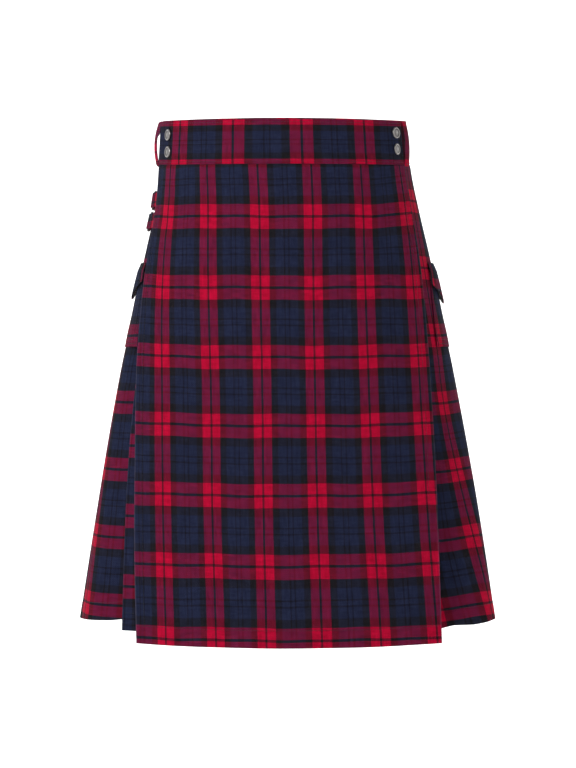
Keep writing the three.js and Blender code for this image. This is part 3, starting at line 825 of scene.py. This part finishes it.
FOLD_REACH = 1.3  # how far a fold's turn reaches along the cloth
RUN_POINTS = {"first": 30, "hip": 48, "pleat": 26}
TURN_POINTS = 7
UNDER_POINTS = 6
ON_RUN, ON_TURN, TURNED_UNDER = 0, 1, 2


def path_of_run(k, z, folds, has_first, fold_count):
    """The middle line of run k, the turn at its fold, the cloth turned under and the turn to the next run: a list of
    (arc length, layer, kind), each with a value for every height in z."""
    down = down_skirt(z)
    stack = mix(*PLEAT_STACK, down)
    underlay = mix(*PLEAT_UNDERLAY, down)
    half = CLOTH / 2
    path = []

    def layer_at(s):
        return run_layer(k, s, z, folds, has_first) - half

    if k == fold_count:
        start = folds[k - 1] - underlay + FOLD_REACH
        for t in np.linspace(0, 1, 10):
            s = mix(start, folds[k - 1], t)
            path.append((s, layer_at(s), ON_RUN))
        return path
    hip = 1 if has_first else 0
    count = RUN_POINTS["first" if k < hip else "hip" if k == hip else "pleat"]
    end = folds[k] - FOLD_REACH
    if k == 0:
        spots = [mix(SKIRT_START, end, t) for t in np.linspace(0, 1, count)]
    else:
        start = folds[k - 1] - underlay + FOLD_REACH
        hidden = max(5, count // 5)
        spots = [mix(start, folds[k - 1], t) for t in np.linspace(0, 1, hidden, endpoint=False)]
        spots += [mix(folds[k - 1], end, t) for t in np.linspace(0, 1, count - hidden)]
    path += [(s, layer_at(s), ON_RUN) for s in spots]
    turns = np.linspace(0, np.pi, TURN_POINTS)[1:-1]
    for t in turns:
        path.append((end + FOLD_REACH * np.sin(t), layer_at(end) - stack * (1 - np.cos(t)) / 2, ON_TURN))
    back = folds[k] - underlay + FOLD_REACH
    for t in np.linspace(0, 1, UNDER_POINTS):
        s = mix(end, back, t)
        path.append((s, layer_at(s) - stack, TURNED_UNDER))
    for t in turns:
        layer = layer_at(back) - stack * (1 + (1 - np.cos(t)) / 2)
        path.append((back - FOLD_REACH * np.sin(t), layer, TURNED_UNDER))
    return path


def skirt_bands(bands, s, z):
    height, repeat, sink, start, end = bands
    return (height - z + sink * smooth(start, end, s) * down_skirt(z)) / repeat


def run_tartan(k, s, z, side, folds):
    """The place in the tartan on run k, in repeats across and down."""
    ahead = s - folds[min(k, len(folds) - 1)]
    if side < 0:
        if k == 0:
            return FIRST_FOLD_PLACE + ahead / STRIPE_REPEAT, skirt_bands(FIRST_BANDS, s, z)
        u = PLEAT_SLIP * (k - 1) + (ahead + down_table(LEFT_STRIPE, STRIPE_PLACE, z)) / LEFT_REPEAT
        return u, skirt_bands(LEFT_BANDS, s, z)
    if k == 0:
        stripe = down_table(RIGHT_STRIPE, STRIPE_PLACE, z)
        repeat = np.where(s < stripe + STRIPE_REACH, down_table(RIGHT_STRIPE, STRIPE_GAP, z), STRIPE_REPEAT)
        return (s - stripe) / repeat, skirt_bands(RIGHT_BANDS, s, z)
    return RIGHT_FOLD_PLACE + PLEAT_SLIP * k + ahead / STRIPE_REPEAT, skirt_bands(RIGHT_BANDS, math.inf, z)


def path_tartan(k, s, kind, z, side, folds):
    """The tartan all along the folded cloth: it goes on round each fold, and below the cloth it settles to the next
    run's own place."""
    if kind != ON_RUN:
        return run_tartan(k, 2 * folds[k] - s, z, side, folds)
    u, v = run_tartan(k, s, z, side, folds)
    if k == 0:
        return u, v
    underlay = mix(*PLEAT_UNDERLAY, down_skirt(z))
    u_before, v_before = run_tartan(k - 1, folds[k - 1] + underlay, z, side, folds)
    hidden = np.clip((folds[k - 1] - s) / underlay, 0, 1)
    carried = u_before + (s - folds[k - 1] + underlay) / STRIPE_REPEAT
    return mix(u, carried, hidden**2), mix(v, v_before, hidden**2)


PATH_STEP = 4.0
PATH_LEVELS = np.arange(PATH_STEP, -580.0, -PATH_STEP)


def between_levels(values, z):
    """Values (levels, columns) at heights z (rows, columns)."""
    at = (PATH_LEVELS[0] - z) / PATH_STEP
    i = np.clip(at.astype(int), 0, len(PATH_LEVELS) - 2)
    column = np.broadcast_to(np.arange(values.shape[1]), z.shape)
    return mix(values[i, column], values[i + 1, column], at - i)


def make_skirt(name, side, has_first):
    fold_count = PLEATS_A_SIDE + 1 + (1 if has_first else 0)
    hem_rows = LEFT_HEM if side < 0 else RIGHT_HEM
    folds = folds_at(PATH_LEVELS, has_first)
    columns, kinds, runs = [], [], []
    for k in range(fold_count + 1):
        for s, layer, kind in path_of_run(k, PATH_LEVELS, folds, has_first, fold_count):
            u, v = path_tartan(k, s, kind, PATH_LEVELS, side, folds)
            columns.append([value + 0 * PATH_LEVELS for value in (s, layer, u, v)])
            kinds.append(kind)
            runs.append(k)
    levels_s, levels_layer, levels_u, levels_v = np.transpose(columns, (1, 2, 0))
    kinds, runs = np.array(kinds), np.array(runs)
    along_s, along_layer = np.gradient(levels_s, axis=1), np.gradient(levels_layer, axis=1)
    size = np.maximum(np.hypot(along_s, along_layer), 1e-6)
    side_s, side_layer = -along_layer / size * CLOTH / 2, along_s / size * CLOTH / 2

    depth = 545.0
    down = spread(0, depth, 5.6, (0, 12, 3), (depth, 26, 2.1)) / depth
    hem = hem_height(hem_rows, between_levels(levels_s, np.full((1, len(kinds)), float(FIRST_PLEAT_HEM)))[0])
    if has_first:
        hem = np.where(runs == 0, FIRST_PLEAT_HEM, hem)
    top = seam_height(lambda z: side * between_levels(levels_s, np.broadcast_to(z, (1, len(kinds))))[0])
    z = mix(top[None], hem[None], down[:, None])
    s, layer = between_levels(levels_s, z), between_levels(levels_layer, z)
    ds, dl = between_levels(side_s, z), between_levels(side_layer, z)
    shared = hip_relief(side * s, z) + seam_gathers(side * s, z, top[None], 0.4) + hem_relief(z, hem[None])
    shared = shared - seam_groove(z, top[None])
    outer = on_form(side * (s + ds), z, layer + dl + shared)
    inner = on_form(side * (s - ds), z, layer - dl + shared)
    uv = np.stack([between_levels(levels_u, z), between_levels(levels_v, z)], -1)
    # Worn nap and a painted highlight on the turn of every fold.
    wear = np.broadcast_to(np.where(kinds == ON_TURN, 0.75, 0.0), z.shape)
    cloth_piece(name, outer, inner, uv, SKIRT_FLATS[name], "gathered", ["band_back_cloth"], wear=wear)

    lines = []
    hem_folds = [fold[0] for fold in folds_at(np.array([float(HEM_ROW)]), has_first)]
    for k in range(fold_count):
        s_line = np.linspace(172 if k == 0 else hem_folds[k - 1] + 1, hem_folds[k] - 2, 60)
        hem_z = np.full(60, float(FIRST_PLEAT_HEM)) if has_first and k == 0 else hem_height(hem_rows, s_line)
        hem_z = hem_z + HEM_TURN
        face = run_layer(k, s_line, hem_z, folds_at(hem_z, has_first), has_first)
        lines.append(row_on(on_form, side * s_line, hem_z, face + flutes(FORM_FLUTES, side * s_line, hem_z)))
    stitches(f"{name}_stitches", lines, DARK_THREAD)


# --- Waistband and belt loops ---
# Middles of the red bands round the waistband, whose cloth is turned a quarter turn, as arc lengths and band numbers.
BAND_MARKS_S = np.array([-213, -135.3, -61, 20.1, 97.8, 175.5])
BAND_MARKS_V = np.array([-2, -1, 0, 1, 2, 3.0])
BAND_MARK_GAP = 77.7  # past the marks
BAND_STRIPE_TOP = 30.3
BAND_STRIPE_REPEAT = 61.2


def band_tartan(s, z):
    v = np.interp(s, BAND_MARKS_S, BAND_MARKS_V)
    for end, past in ((0, s < BAND_MARKS_S[0]), (-1, s > BAND_MARKS_S[-1])):
        v = np.where(past, BAND_MARKS_V[end] + (s - BAND_MARKS_S[end]) / BAND_MARK_GAP, v)
    return np.stack([(BAND_STRIPE_TOP - z) / BAND_STRIPE_REPEAT + 0 * v, v + 0 * z], -1)


def band_layer(s, height, out):
    """The face of a waistband at a height from its middle: it is full between its two rows of stitches."""
    edge = BAND_HEIGHT / 2 - np.abs(height)
    rounded = -0.55 * np.exp(-edge / 0.7)
    stitched = -0.3 * bell((edge - 3) / 1.3)
    wave = 0.16 * np.sin(s / 17 + height / 21) + 0.1 * np.sin(s / 7.3 - height / 9)
    return out + rounded + stitched + wave


def corner_dip(s, height):
    """The top edge is pulled down at the left end of the front part."""
    whole = 2 * half_length(0.0)
    around = (s + whole / 2) % whole - whole / 2
    return CORNER_DIP * bell((around + CORNER_PLACE) / CORNER_REACH) * smooth(0, BAND_HEIGHT / 2, height)


def make_band(name, ends, out, thick, slip=0.0, roll=0.0):
    start, end = ends
    if end < start:
        end += 2 * half_length(0.0)
    s_row = spread(start, end, 2.6, (start, 6, 1.2), (end, 6, 1.2))
    height = np.concatenate([[-26, -25.6, -24.8], np.linspace(-23.6, 23.6, 19), [24.8, 25.6, 26]])[::-1]
    bottom = (SEAM - BAND_HEIGHT) / 2
    h = np.maximum(np.broadcast_to(height[:, None], (len(height), len(s_row))), bottom)
    s = np.broadcast_to(s_row, h.shape)
    angle = angle_at(0.0, s)
    z = h + waist_rise(angle) - corner_dip(s, h)
    back = out - thick + 0.15 * np.exp(-(BAND_HEIGHT / 2 - np.abs(h)) / 0.7)
    back = back - roll * bell((h - bottom) / 2.4)
    outer, inner = at_angle(angle, z, band_layer(s, h, out)), at_angle(angle, z, back)
    flat = ((end - start) * MM, BAND_HEIGHT * MM)
    cloth_piece(name, outer, inner, band_tartan(s + slip, h), flat, "stretched", rim_push=0.3)
    s = np.linspace(start + 2.5, end - 2.5, int((end - start) / 3))
    turn = angle_at(0.0, s)
    return [
        row_on(at_angle, turn, at + waist_rise(turn) - corner_dip(s, at), band_layer(s, at, out))
        for at in (BAND_ROW, -BAND_ROW)
    ]


def make_waistband():
    front_face = LAYER + BAND_THICK
    lines = make_band("band_front", BAND_FRONT, front_face, BAND_THICK)
    lines += make_band("band_back", BAND_BACK, 0, BAND_THICK, roll=BACK_ROLL)
    make_band("band_under", BAND_UNDER, -BAND_THICK - LAYER, BAND_UNDER_THICK, BAND_UNDER_SLIP)
    h = np.linspace(-22, 22, 24)
    for s in (BAND_FRONT[0] + 3, BAND_FRONT[1] - 3):
        turn = np.full_like(h, float(angle_at(0.0, s)))
        lines.append(row_on(at_angle, turn, h + waist_rise(turn), band_layer(s, h, front_face)))
    stitches("waistband_stitches", lines, DARK_THREAD)


# Each belt loop: its middle, how far it stands off, its thickness, the part of its length that lies flat on the band
# at the top, and where it is cut from the tartan, across it and as the height of a red band.
LOOPS = {
    "belt_loop_left": (-194.8, 4.7, 3.0, 0.3, 0.08, -12),
    "belt_loop_right": (171.5, 3.2, 1.8, 0, 0.11, 30.3),
    "belt_loop_back": (418.4, 6, 1.8, 0, 0.09, 30.3),
}


def make_loops():
    lines = []
    for name, (middle, bulge, thick, flat_top, cut, red_height) in LOOPS.items():
        rise = float(waist_rise(angle_at(0.0, middle)))
        t = np.linspace(0, 1, 46)[:, None]
        across = np.array([-1, -0.93, -0.75, -0.4, 0, 0.4, 0.75, 0.93, 1])[None, :]
        s = middle + LOOP_WIDTH / 2 * across + 0 * t
        z = mix(LOOP_TOP, LOOP_BOTTOM, t) + rise + 0 * across
        bow = LAYER + bulge * np.sin(np.pi * t) ** LOOP_FULLNESS
        round_edge = 0.3 * np.abs(across) ** 6
        ridge = 0.12 * np.cos(across * 4.5)
        outer = on_form(s, z, bow + thick - round_edge + ridge)
        free = smooth(flat_top - 0.12, flat_top + 0.08, t)
        inner = on_form(s, z, mix(LAYER, bow, free) + round_edge + 0 * s)
        uv = np.stack([(red_height + rise - z) / BAND_STRIPE_REPEAT, cut + (s - middle) / BAND_REPEAT], -1)
        flat = (LOOP_WIDTH * MM, (LOOP_CUT + LOOP_DOUBLE * flat_top) * MM)
        cloth_piece(name, outer, inner, uv, flat, "stretched", ["band_back_cloth"], rim_push=0.35)
        for level in (LOOP_TOP - 2.2, LOOP_BOTTOM + 2.4):
            for row in (-0.55, 0, 0.55):
                s_line = middle + np.linspace(-5, 5, 12)
                z_line = np.full_like(s_line, level + rise + row)
                part = (LOOP_TOP + rise - z_line) / (LOOP_TOP - LOOP_BOTTOM)
                face = LAYER + bulge * np.sin(np.pi * part) ** LOOP_FULLNESS + thick
                lines.append(row_on(on_form, s_line, z_line, face))
    stitches("belt_loop_bar_tacks", lines, RED_THREAD)


# --- Snap caps ---
# A plain ring cap from its rim to its middle: distance from the middle, height, and how dark it is there:
# grime in the hollows, and painted shade at the foot, where the cap meets the cloth.
CAP_PROFILE = [
    (0.80, 0.00, 1.0),
    (0.93, 0.02, 1.0),
    (1.00, 0.22, 0.5),
    (1.00, 0.42, 0.1),
    (0.95, 0.66, 0.0),
    (0.86, 0.80, 0.0),
    (0.76, 0.76, 0.2),
    (0.68, 0.62, 0.9),
    (0.60, 0.56, 0.8),
    (0.48, 0.62, 0.55),
    (0.30, 0.72, 0.4),
    (0.14, 0.77, 0.3),
]


def make_cap(name, s, z, turn):
    """A cap on the front of the waistband, leaning up a little and turned to the side."""
    sides = 56
    out = LAYER + BAND_THICK + CAP_SEAT
    foot = on_form(s, z, out)
    outward = unit(unit(on_form(s, z, out + 1) - foot) + (turn, 0, BAND_LEAN))
    across = unit(np.cross([0, 0, 1.0], outward))
    upward = np.cross(outward, across)
    turns = np.linspace(0, 2 * np.pi, sides, endpoint=False)
    spokes = np.cos(turns)[:, None] * across + np.sin(turns)[:, None] * upward
    rings, wear = [], []
    for distance, height, grime_and_shade in CAP_PROFILE:
        rings.append(foot + spokes * CAP_RADIUS * distance + outward * CAP_HEIGHT * height)
        wear += [grime_and_shade] * sides
    points = np.concatenate(rings + [(foot + outward * CAP_HEIGHT * 0.78)[None], foot[None]])
    index = np.arange(len(CAP_PROFILE) * sides).reshape(-1, sides)
    tip, base = index.size, index.size + 1
    faces = tube_faces(index).tolist()
    faces += [[index[-1][i], index[-1][(i + 1) % sides], tip] for i in range(sides)]
    faces += [[index[0][(i + 1) % sides], index[0][i], base] for i in range(sides)]
    obj = make_mesh(f"{name}_metal", points, faces, wear=np.array(wear + [0.05, 1.0]))
    finish_piece(obj, METAL, [name])


def make_snaps():
    make_cap("snap_cap_left_upper", -157.6, 13.2, -0.15)
    make_cap("snap_cap_left_lower", -157.6, -7.2, -0.1)
    make_cap("snap_cap_right_upper", 147.2, 14.9, -0.05)
    make_cap("snap_cap_right_lower", 147.8, -4.6, 0.3)


# --- Hip straps ---
def make_strap(name, start, bar, tail, middle, slip):
    """A strap that lies on the hip, goes round the ring's bar and is sewn down on itself."""
    towards = math.copysign(1, bar - start)
    near = bar + towards * (RING_BAR + SEAM)
    low = HIP_LAYER + CLOTH / 2
    high = RING_UNDER + RING_BAR + SEAM + CLOTH / 2
    rest = low + CLOTH + 0.15
    s_path = list(np.linspace(start, near, 16))
    layers = [low] * 16
    for t in np.linspace(0, np.pi, 12)[1:-1]:
        s_path.append(near + towards * CLOTH * np.sin(t) * 0.9)
        layers.append(mix(low, high, (1 - math.cos(t)) / 2))
    for t in np.linspace(0, 1, 16):
        s_path.append(mix(near, tail, t))
        layers.append(mix(high, rest, float(smooth(0.1, 0.62, t))))
    s_path, layers = np.array(s_path), np.array(layers)
    ds, dl = np.gradient(s_path), np.gradient(layers)
    half = -towards * CLOTH / 2 / np.hypot(ds, dl)
    off_s, off_l = -dl * half, ds * half
    across = np.array([-1, -0.94, -0.8, -0.4, 0, 0.4, 0.8, 0.94, 1])[:, None]
    z = middle + STRAP_WIDTH / 2 * across + 0 * s_path
    round_edge = 0.25 * np.abs(across) ** 8
    outer = on_form(-(s_path + off_s) + 0 * z, z, layers + off_l * (1 - round_edge))
    inner = on_form(-(s_path - off_s) + 0 * z, z, layers - off_l * (1 - round_edge))
    length = np.concatenate([[0], np.cumsum(np.hypot(np.diff(s_path), np.diff(layers)))])
    uv = np.stack([(z - middle) / STRIPE_REPEAT + slip, length / BAND_REPEAT + 0.92 + 0 * z], -1)
    flat = (STRAP_WIDTH * MM, float(length[-1]) * MM)
    cloth_piece(name, outer, inner, uv, flat, "folded", ["skirt_left_cloth"], rim_push=0.35)
    z = middle + np.linspace(-8, 8, 14)
    return [row_on(on_form, -mix(near, tail, share) + 0 * z, z, rest + CLOTH / 2) for share in (0.72, 0.93)]


def make_ring(name, middle):
    """A rectangular ring of round wire with rounded corners."""
    radius = RING_BAR / 2
    half_s, half_z = (RING_TO - RING_FROM) / 2 - radius, RING_HEIGHT / 2 - radius
    centre_s, layer = (RING_FROM + RING_TO) / 2, RING_UNDER + radius
    spine = []
    for quarter, way in enumerate(((1, 1), (-1, 1), (-1, -1), (1, -1))):
        angle = quarter * np.pi / 2 + np.linspace(0, np.pi / 2, 9)
        corner = np.array(way) * (half_s - RING_CORNER, half_z - RING_CORNER)
        spine.append(corner + RING_CORNER * np.stack([np.cos(angle), np.sin(angle)], -1))
    spine = np.concatenate(spine)
    ahead = unit(np.roll(spine, -1, 0) - np.roll(spine, 1, 0))
    turns = np.linspace(0, 2 * np.pi, 12, endpoint=False)
    s = centre_s + spine[:, None, 0] + ahead[:, None, 1] * radius * np.cos(turns)
    z = middle + spine[:, None, 1] - ahead[:, None, 0] * radius * np.cos(turns)
    points = on_form(-s, z, layer + radius * np.sin(turns) + 0 * s).reshape(-1, 3)
    index = np.arange(len(points)).reshape(len(spine), 12)
    # Painted shade: the half of the wire that faces the cloth is darker, the outer half brighter.
    wear = np.tile(0.25 + 0.5 * (np.sin(turns) < -0.2), len(spine))
    faces = facing_out(points, tube_faces(np.vstack([index, index[:1]])))
    obj = make_mesh(f"{name}_metal", points, faces, wear=wear)
    finish_piece(obj, METAL, [name])


def make_hip_straps():
    lines = []
    for i, (level, middle) in enumerate(STRAP_HEIGHTS.items()):
        slip = 0.06 + 0.12 * i
        lines += make_strap(f"hip_strap_{level}", STRAP_START, RING_FROM, STRAP_TAIL, middle, slip)
        lines += make_strap(f"hip_tab_{level}", TAB_START, RING_TO, TAB_TAIL, middle, slip)
        make_ring(f"hip_ring_{level}", middle)
    stitches("hip_strap_stitches", lines, DARK_THREAD)


# --- Pockets ---
def flap_tartan(side, s, z):
    return np.stack([(s - POCKET_MIDDLE) / STRIPE_REPEAT + FLAP_PLACE, (FLAP_BANDS[side] - z) / BAND_REPEAT], -1)


def pocket_tartan(side, s, z):
    """A pocket is cut to match the tartan of its hip panel."""
    has_first = side < 0
    folds = folds_at(z, has_first)
    return np.stack(np.broadcast_arrays(*run_tartan(1 if has_first else 0, s, z, side, folds)), -1)


def on_hip(side, s, z, out):
    return on_form(side * s, z, out + hip_relief(side * s, z))


def pocket_fullness(inward):
    return POCKET_SWELL * smooth(1.5, 15, inward)


def make_pocket(side, word):
    across = spread(0, POCKET_WIDTH, 2.4, (0, 8, 1.1), (POCKET_WIDTH, 8, 1.1))[None, :]
    height = POCKET_TOP - POCKET_BOTTOM
    down = spread(0, height, 2.4, (0, 5, 1.2), (height, 8, 1.1))[:, None]
    s = POCKET_MIDDLE - POCKET_WIDTH / 2 + across + 0 * down
    z = POCKET_TOP - down + 0 * across
    inward = np.minimum(np.minimum(across, POCKET_WIDTH - across), height - down)
    wave = POCKET_WAVE * np.sin(s / 9.5) * smooth(0, 18, inward)
    sag = POCKET_SAG * smooth(0.2, 0.9, down / height) * smooth(6, 24, inward)
    stitched = -0.35 * bell((inward - 3) / 1.2)
    out = POCKET_LAYER + pocket_fullness(inward) + wave + sag + stitched
    outer = on_hip(side, s, z, out + POCKET_CLOTH)
    inner = on_hip(side, s, z, np.maximum(out - 0.1, POCKET_LAYER - 0.2))
    uv, flat = pocket_tartan(side, s, z), (POCKET_WIDTH * MM, height * MM)
    cloth_piece(f"pocket_{word}", outer, inner, uv, flat, "laid", [f"skirt_{word}_cloth"], rim_push=0.35)
    lines = []
    for inset in (3, 8):
        left, right = POCKET_MIDDLE - POCKET_WIDTH / 2 + inset, POCKET_MIDDLE + POCKET_WIDTH / 2 - inset
        top, low = POCKET_TOP - 3, POCKET_BOTTOM + inset
        face = POCKET_LAYER + POCKET_CLOTH + pocket_fullness(inset) - 0.1
        corners = [(left, top), (left, low), (right, low), (right, top)]
        for (s0, z0), (s1, z1) in zip(corners, corners[1:]):
            lines.append(row_on(partial(on_hip, side), np.linspace(s0, s1, 40), np.linspace(z0, z1, 40), face))
    return lines


def flap_rise(s, drop):
    step = FLAP_STEP * smooth(0, FLAP_STEP_END + 1, drop)
    flare = FLAP_FLARE * (np.maximum(drop - FLAP_STEP_END, 0) / (FLAP_DROP - FLAP_STEP_END)) ** 1.3
    return step + flare + 0.3 * np.sin(s / 8.7 + 0.6) * smooth(10, 26, drop)


def flap_length(side, share):
    """How far down the flap reaches at a share of its width."""
    return mix(FLAP_DROP, FLAP_SIDES, np.abs(2 * share - 1)) - FLAP_SHORTER[side]


def flap_grid(side, under, inset):
    across = np.concatenate([[0, 0.012, 0.03], np.linspace(0.06, 0.94, 37), [0.97, 0.988, 1]])[None, :]
    down = np.concatenate([[0, 0.03], np.linspace(0.07, 0.93, 22), [0.965, 0.985, 1]])[:, None]
    width = FLAP_WIDTH - 2 * inset
    s = POCKET_MIDDLE + width * (across - 0.5) + 0 * down
    reach = flap_length(side, across) - inset
    drop = reach * down
    edge = np.minimum(np.minimum(across, 1 - across) * width, reach * (1 - down))
    pressed = -0.3 * bell((edge - 3.2) / 1.2)
    out = under + flap_rise(s, drop)
    return s, FLAP_TOP - drop, out + FLAP_THICK + pressed, out


def make_flap(side, word):
    outside = HIP_LAYER + FLAP_THICK + SEAM
    flat = (FLAP_WIDTH * MM, FLAP_DROP * MM)
    area = FLAP_WIDTH * (FLAP_DROP + FLAP_SIDES) / 2 * MM * MM
    hip, rests_on = partial(on_hip, side), [f"skirt_{word}_cloth"]
    for node, under, inset in ((f"flap_lining_{word}", HIP_LAYER, 0.8), (f"flap_{word}", outside, 0.0)):
        s, z, face, back = flap_grid(side, under, inset)
        uv, lining = flap_tartan(side, s, z), "lining" in node
        cloth_piece(node, hip(s, z, face), hip(s, z, back), uv, flat, "hung", rests_on, area, lining, rim_push=0.35)
    # The rows of stitches run down near both sides, along the point and along the top.
    lines = [row_on(hip, s[2:25, column], z[2:25, column], face[2:25, column]) for column in (3, -4)]
    along = np.arange(s.shape[1])[3:-3]
    s = s[0, along]
    drop = flap_length(side, along / (len(face[0]) - 1)) - 3.4
    lines.append(row_on(hip, s, FLAP_TOP - drop, outside + FLAP_THICK + flap_rise(s, drop) - 0.25))
    lines.append(row_on(hip, s, FLAP_TOP - 4 + 0 * s, outside + FLAP_THICK + flap_rise(s, 4.0)))
    return lines


def make_pockets():
    lines = []
    for side, word in ((-1, "left"), (1, "right")):
        lines += make_pocket(side, word)
        lines += make_flap(side, word)
    stitches("pocket_stitches", lines, DARK_THREAD)


# --- Floor, lights and camera ---
def make_floor():
    """A round studio: a pale floor curving up into a pale wall, both glowing as painted light, most behind the kilt.
    """
    floor_z, radius, bend, wall_top, sides = -1.15, 9.0, 3.0, 5.0, 72
    profile = [(0.5, floor_z), (radius - bend, floor_z)]
    for t in np.linspace(0, np.pi / 2, 13)[1:]:
        profile.append((radius - bend + bend * np.sin(t), floor_z + bend * (1 - np.cos(t))))
    profile.append((radius, wall_top))
    turns = np.linspace(0, 2 * np.pi, sides, endpoint=False)
    points = [(r * np.cos(turn), r * np.sin(turn), z) for r, z in profile for turn in turns]
    index = np.arange(len(points)).reshape(len(profile), sides)
    quads = tube_faces(index)[:, [0, 3, 2, 1]]
    floor = make_mesh("studio_floor", np.array(points) / MM, [*quads, index[0]])
    n = Nodes("glowing_pale_floor")
    # Painted light: the glow grows from the front of the studio to the wall behind the kilt.
    glow = n.add("ShaderNodeMapRange", interpolation_type="SMOOTHSTEP", Value=n.split(n.object_place())[1])
    for socket, value in zip(("From Min", "From Max", "To Min", "To Max"), (-1.5, 3.0, 0.1, 0.8)):
        glow.inputs[socket].default_value = value
    n.set(Base_Color=(0.9, 0.9, 0.9, 1), Roughness=0.9, Specular_IOR_Level=0.1)
    n.set(Emission_Color=(1, 1, 1, 1), Emission_Strength=glow.outputs["Result"])
    floor.data.materials.append(n.material)


def area_light(name, place, target, size, energy):
    data = bpy.data.lights.new(name, "AREA")
    data.shape = "RECTANGLE"
    data.size, data.size_y = size
    data.energy = energy
    light = bpy.data.objects.new(name, data)
    light.location = place
    light.rotation_mode = "QUATERNION"
    light.rotation_quaternion = (Vector(target) - Vector(place)).to_track_quat("-Z", "Y")
    bpy.context.scene.collection.objects.link(light)


CAMERA_LENS, CAMERA_PLACE = 135.75, (0, -3.5, -0.284)  # millimetres, metres
WORLD_LIGHT = 0.42


def make_studio():
    make_floor()
    world = bpy.data.worlds.new("studio")
    bpy.context.scene.world = world
    world.use_nodes = True
    background = world.node_tree.nodes["Background"]
    background.inputs["Color"].default_value = (1, 1, 1, 1)
    background.inputs["Strength"].default_value = WORLD_LIGHT
    area_light("key", (-1.1, -1.6, 0.75), (0, 0, -0.15), (0.9, 0.9), 23.5)
    area_light("fill", (1.7, -2.4, 0.3), (0, 0, -0.3), (1.4, 1.6), 0.8)
    bpy.context.scene.view_settings.view_transform = "Standard"
    data = bpy.data.cameras.new("camera")
    data.sensor_width, data.lens, data.clip_end = 36, CAMERA_LENS, 200
    camera = bpy.data.objects.new("camera", data)
    camera.location = CAMERA_PLACE
    camera.rotation_euler = (math.pi / 2, 0, 0)
    bpy.context.scene.collection.objects.link(camera)
    bpy.context.scene.camera = camera


# --- The kilt ---
make_over_apron()
make_under_apron()
make_skirt("skirt_left", -1, True)
make_skirt("skirt_right", 1, False)
make_waistband()
make_loops()
make_snaps()
make_hip_straps()
make_pockets()
make_studio()
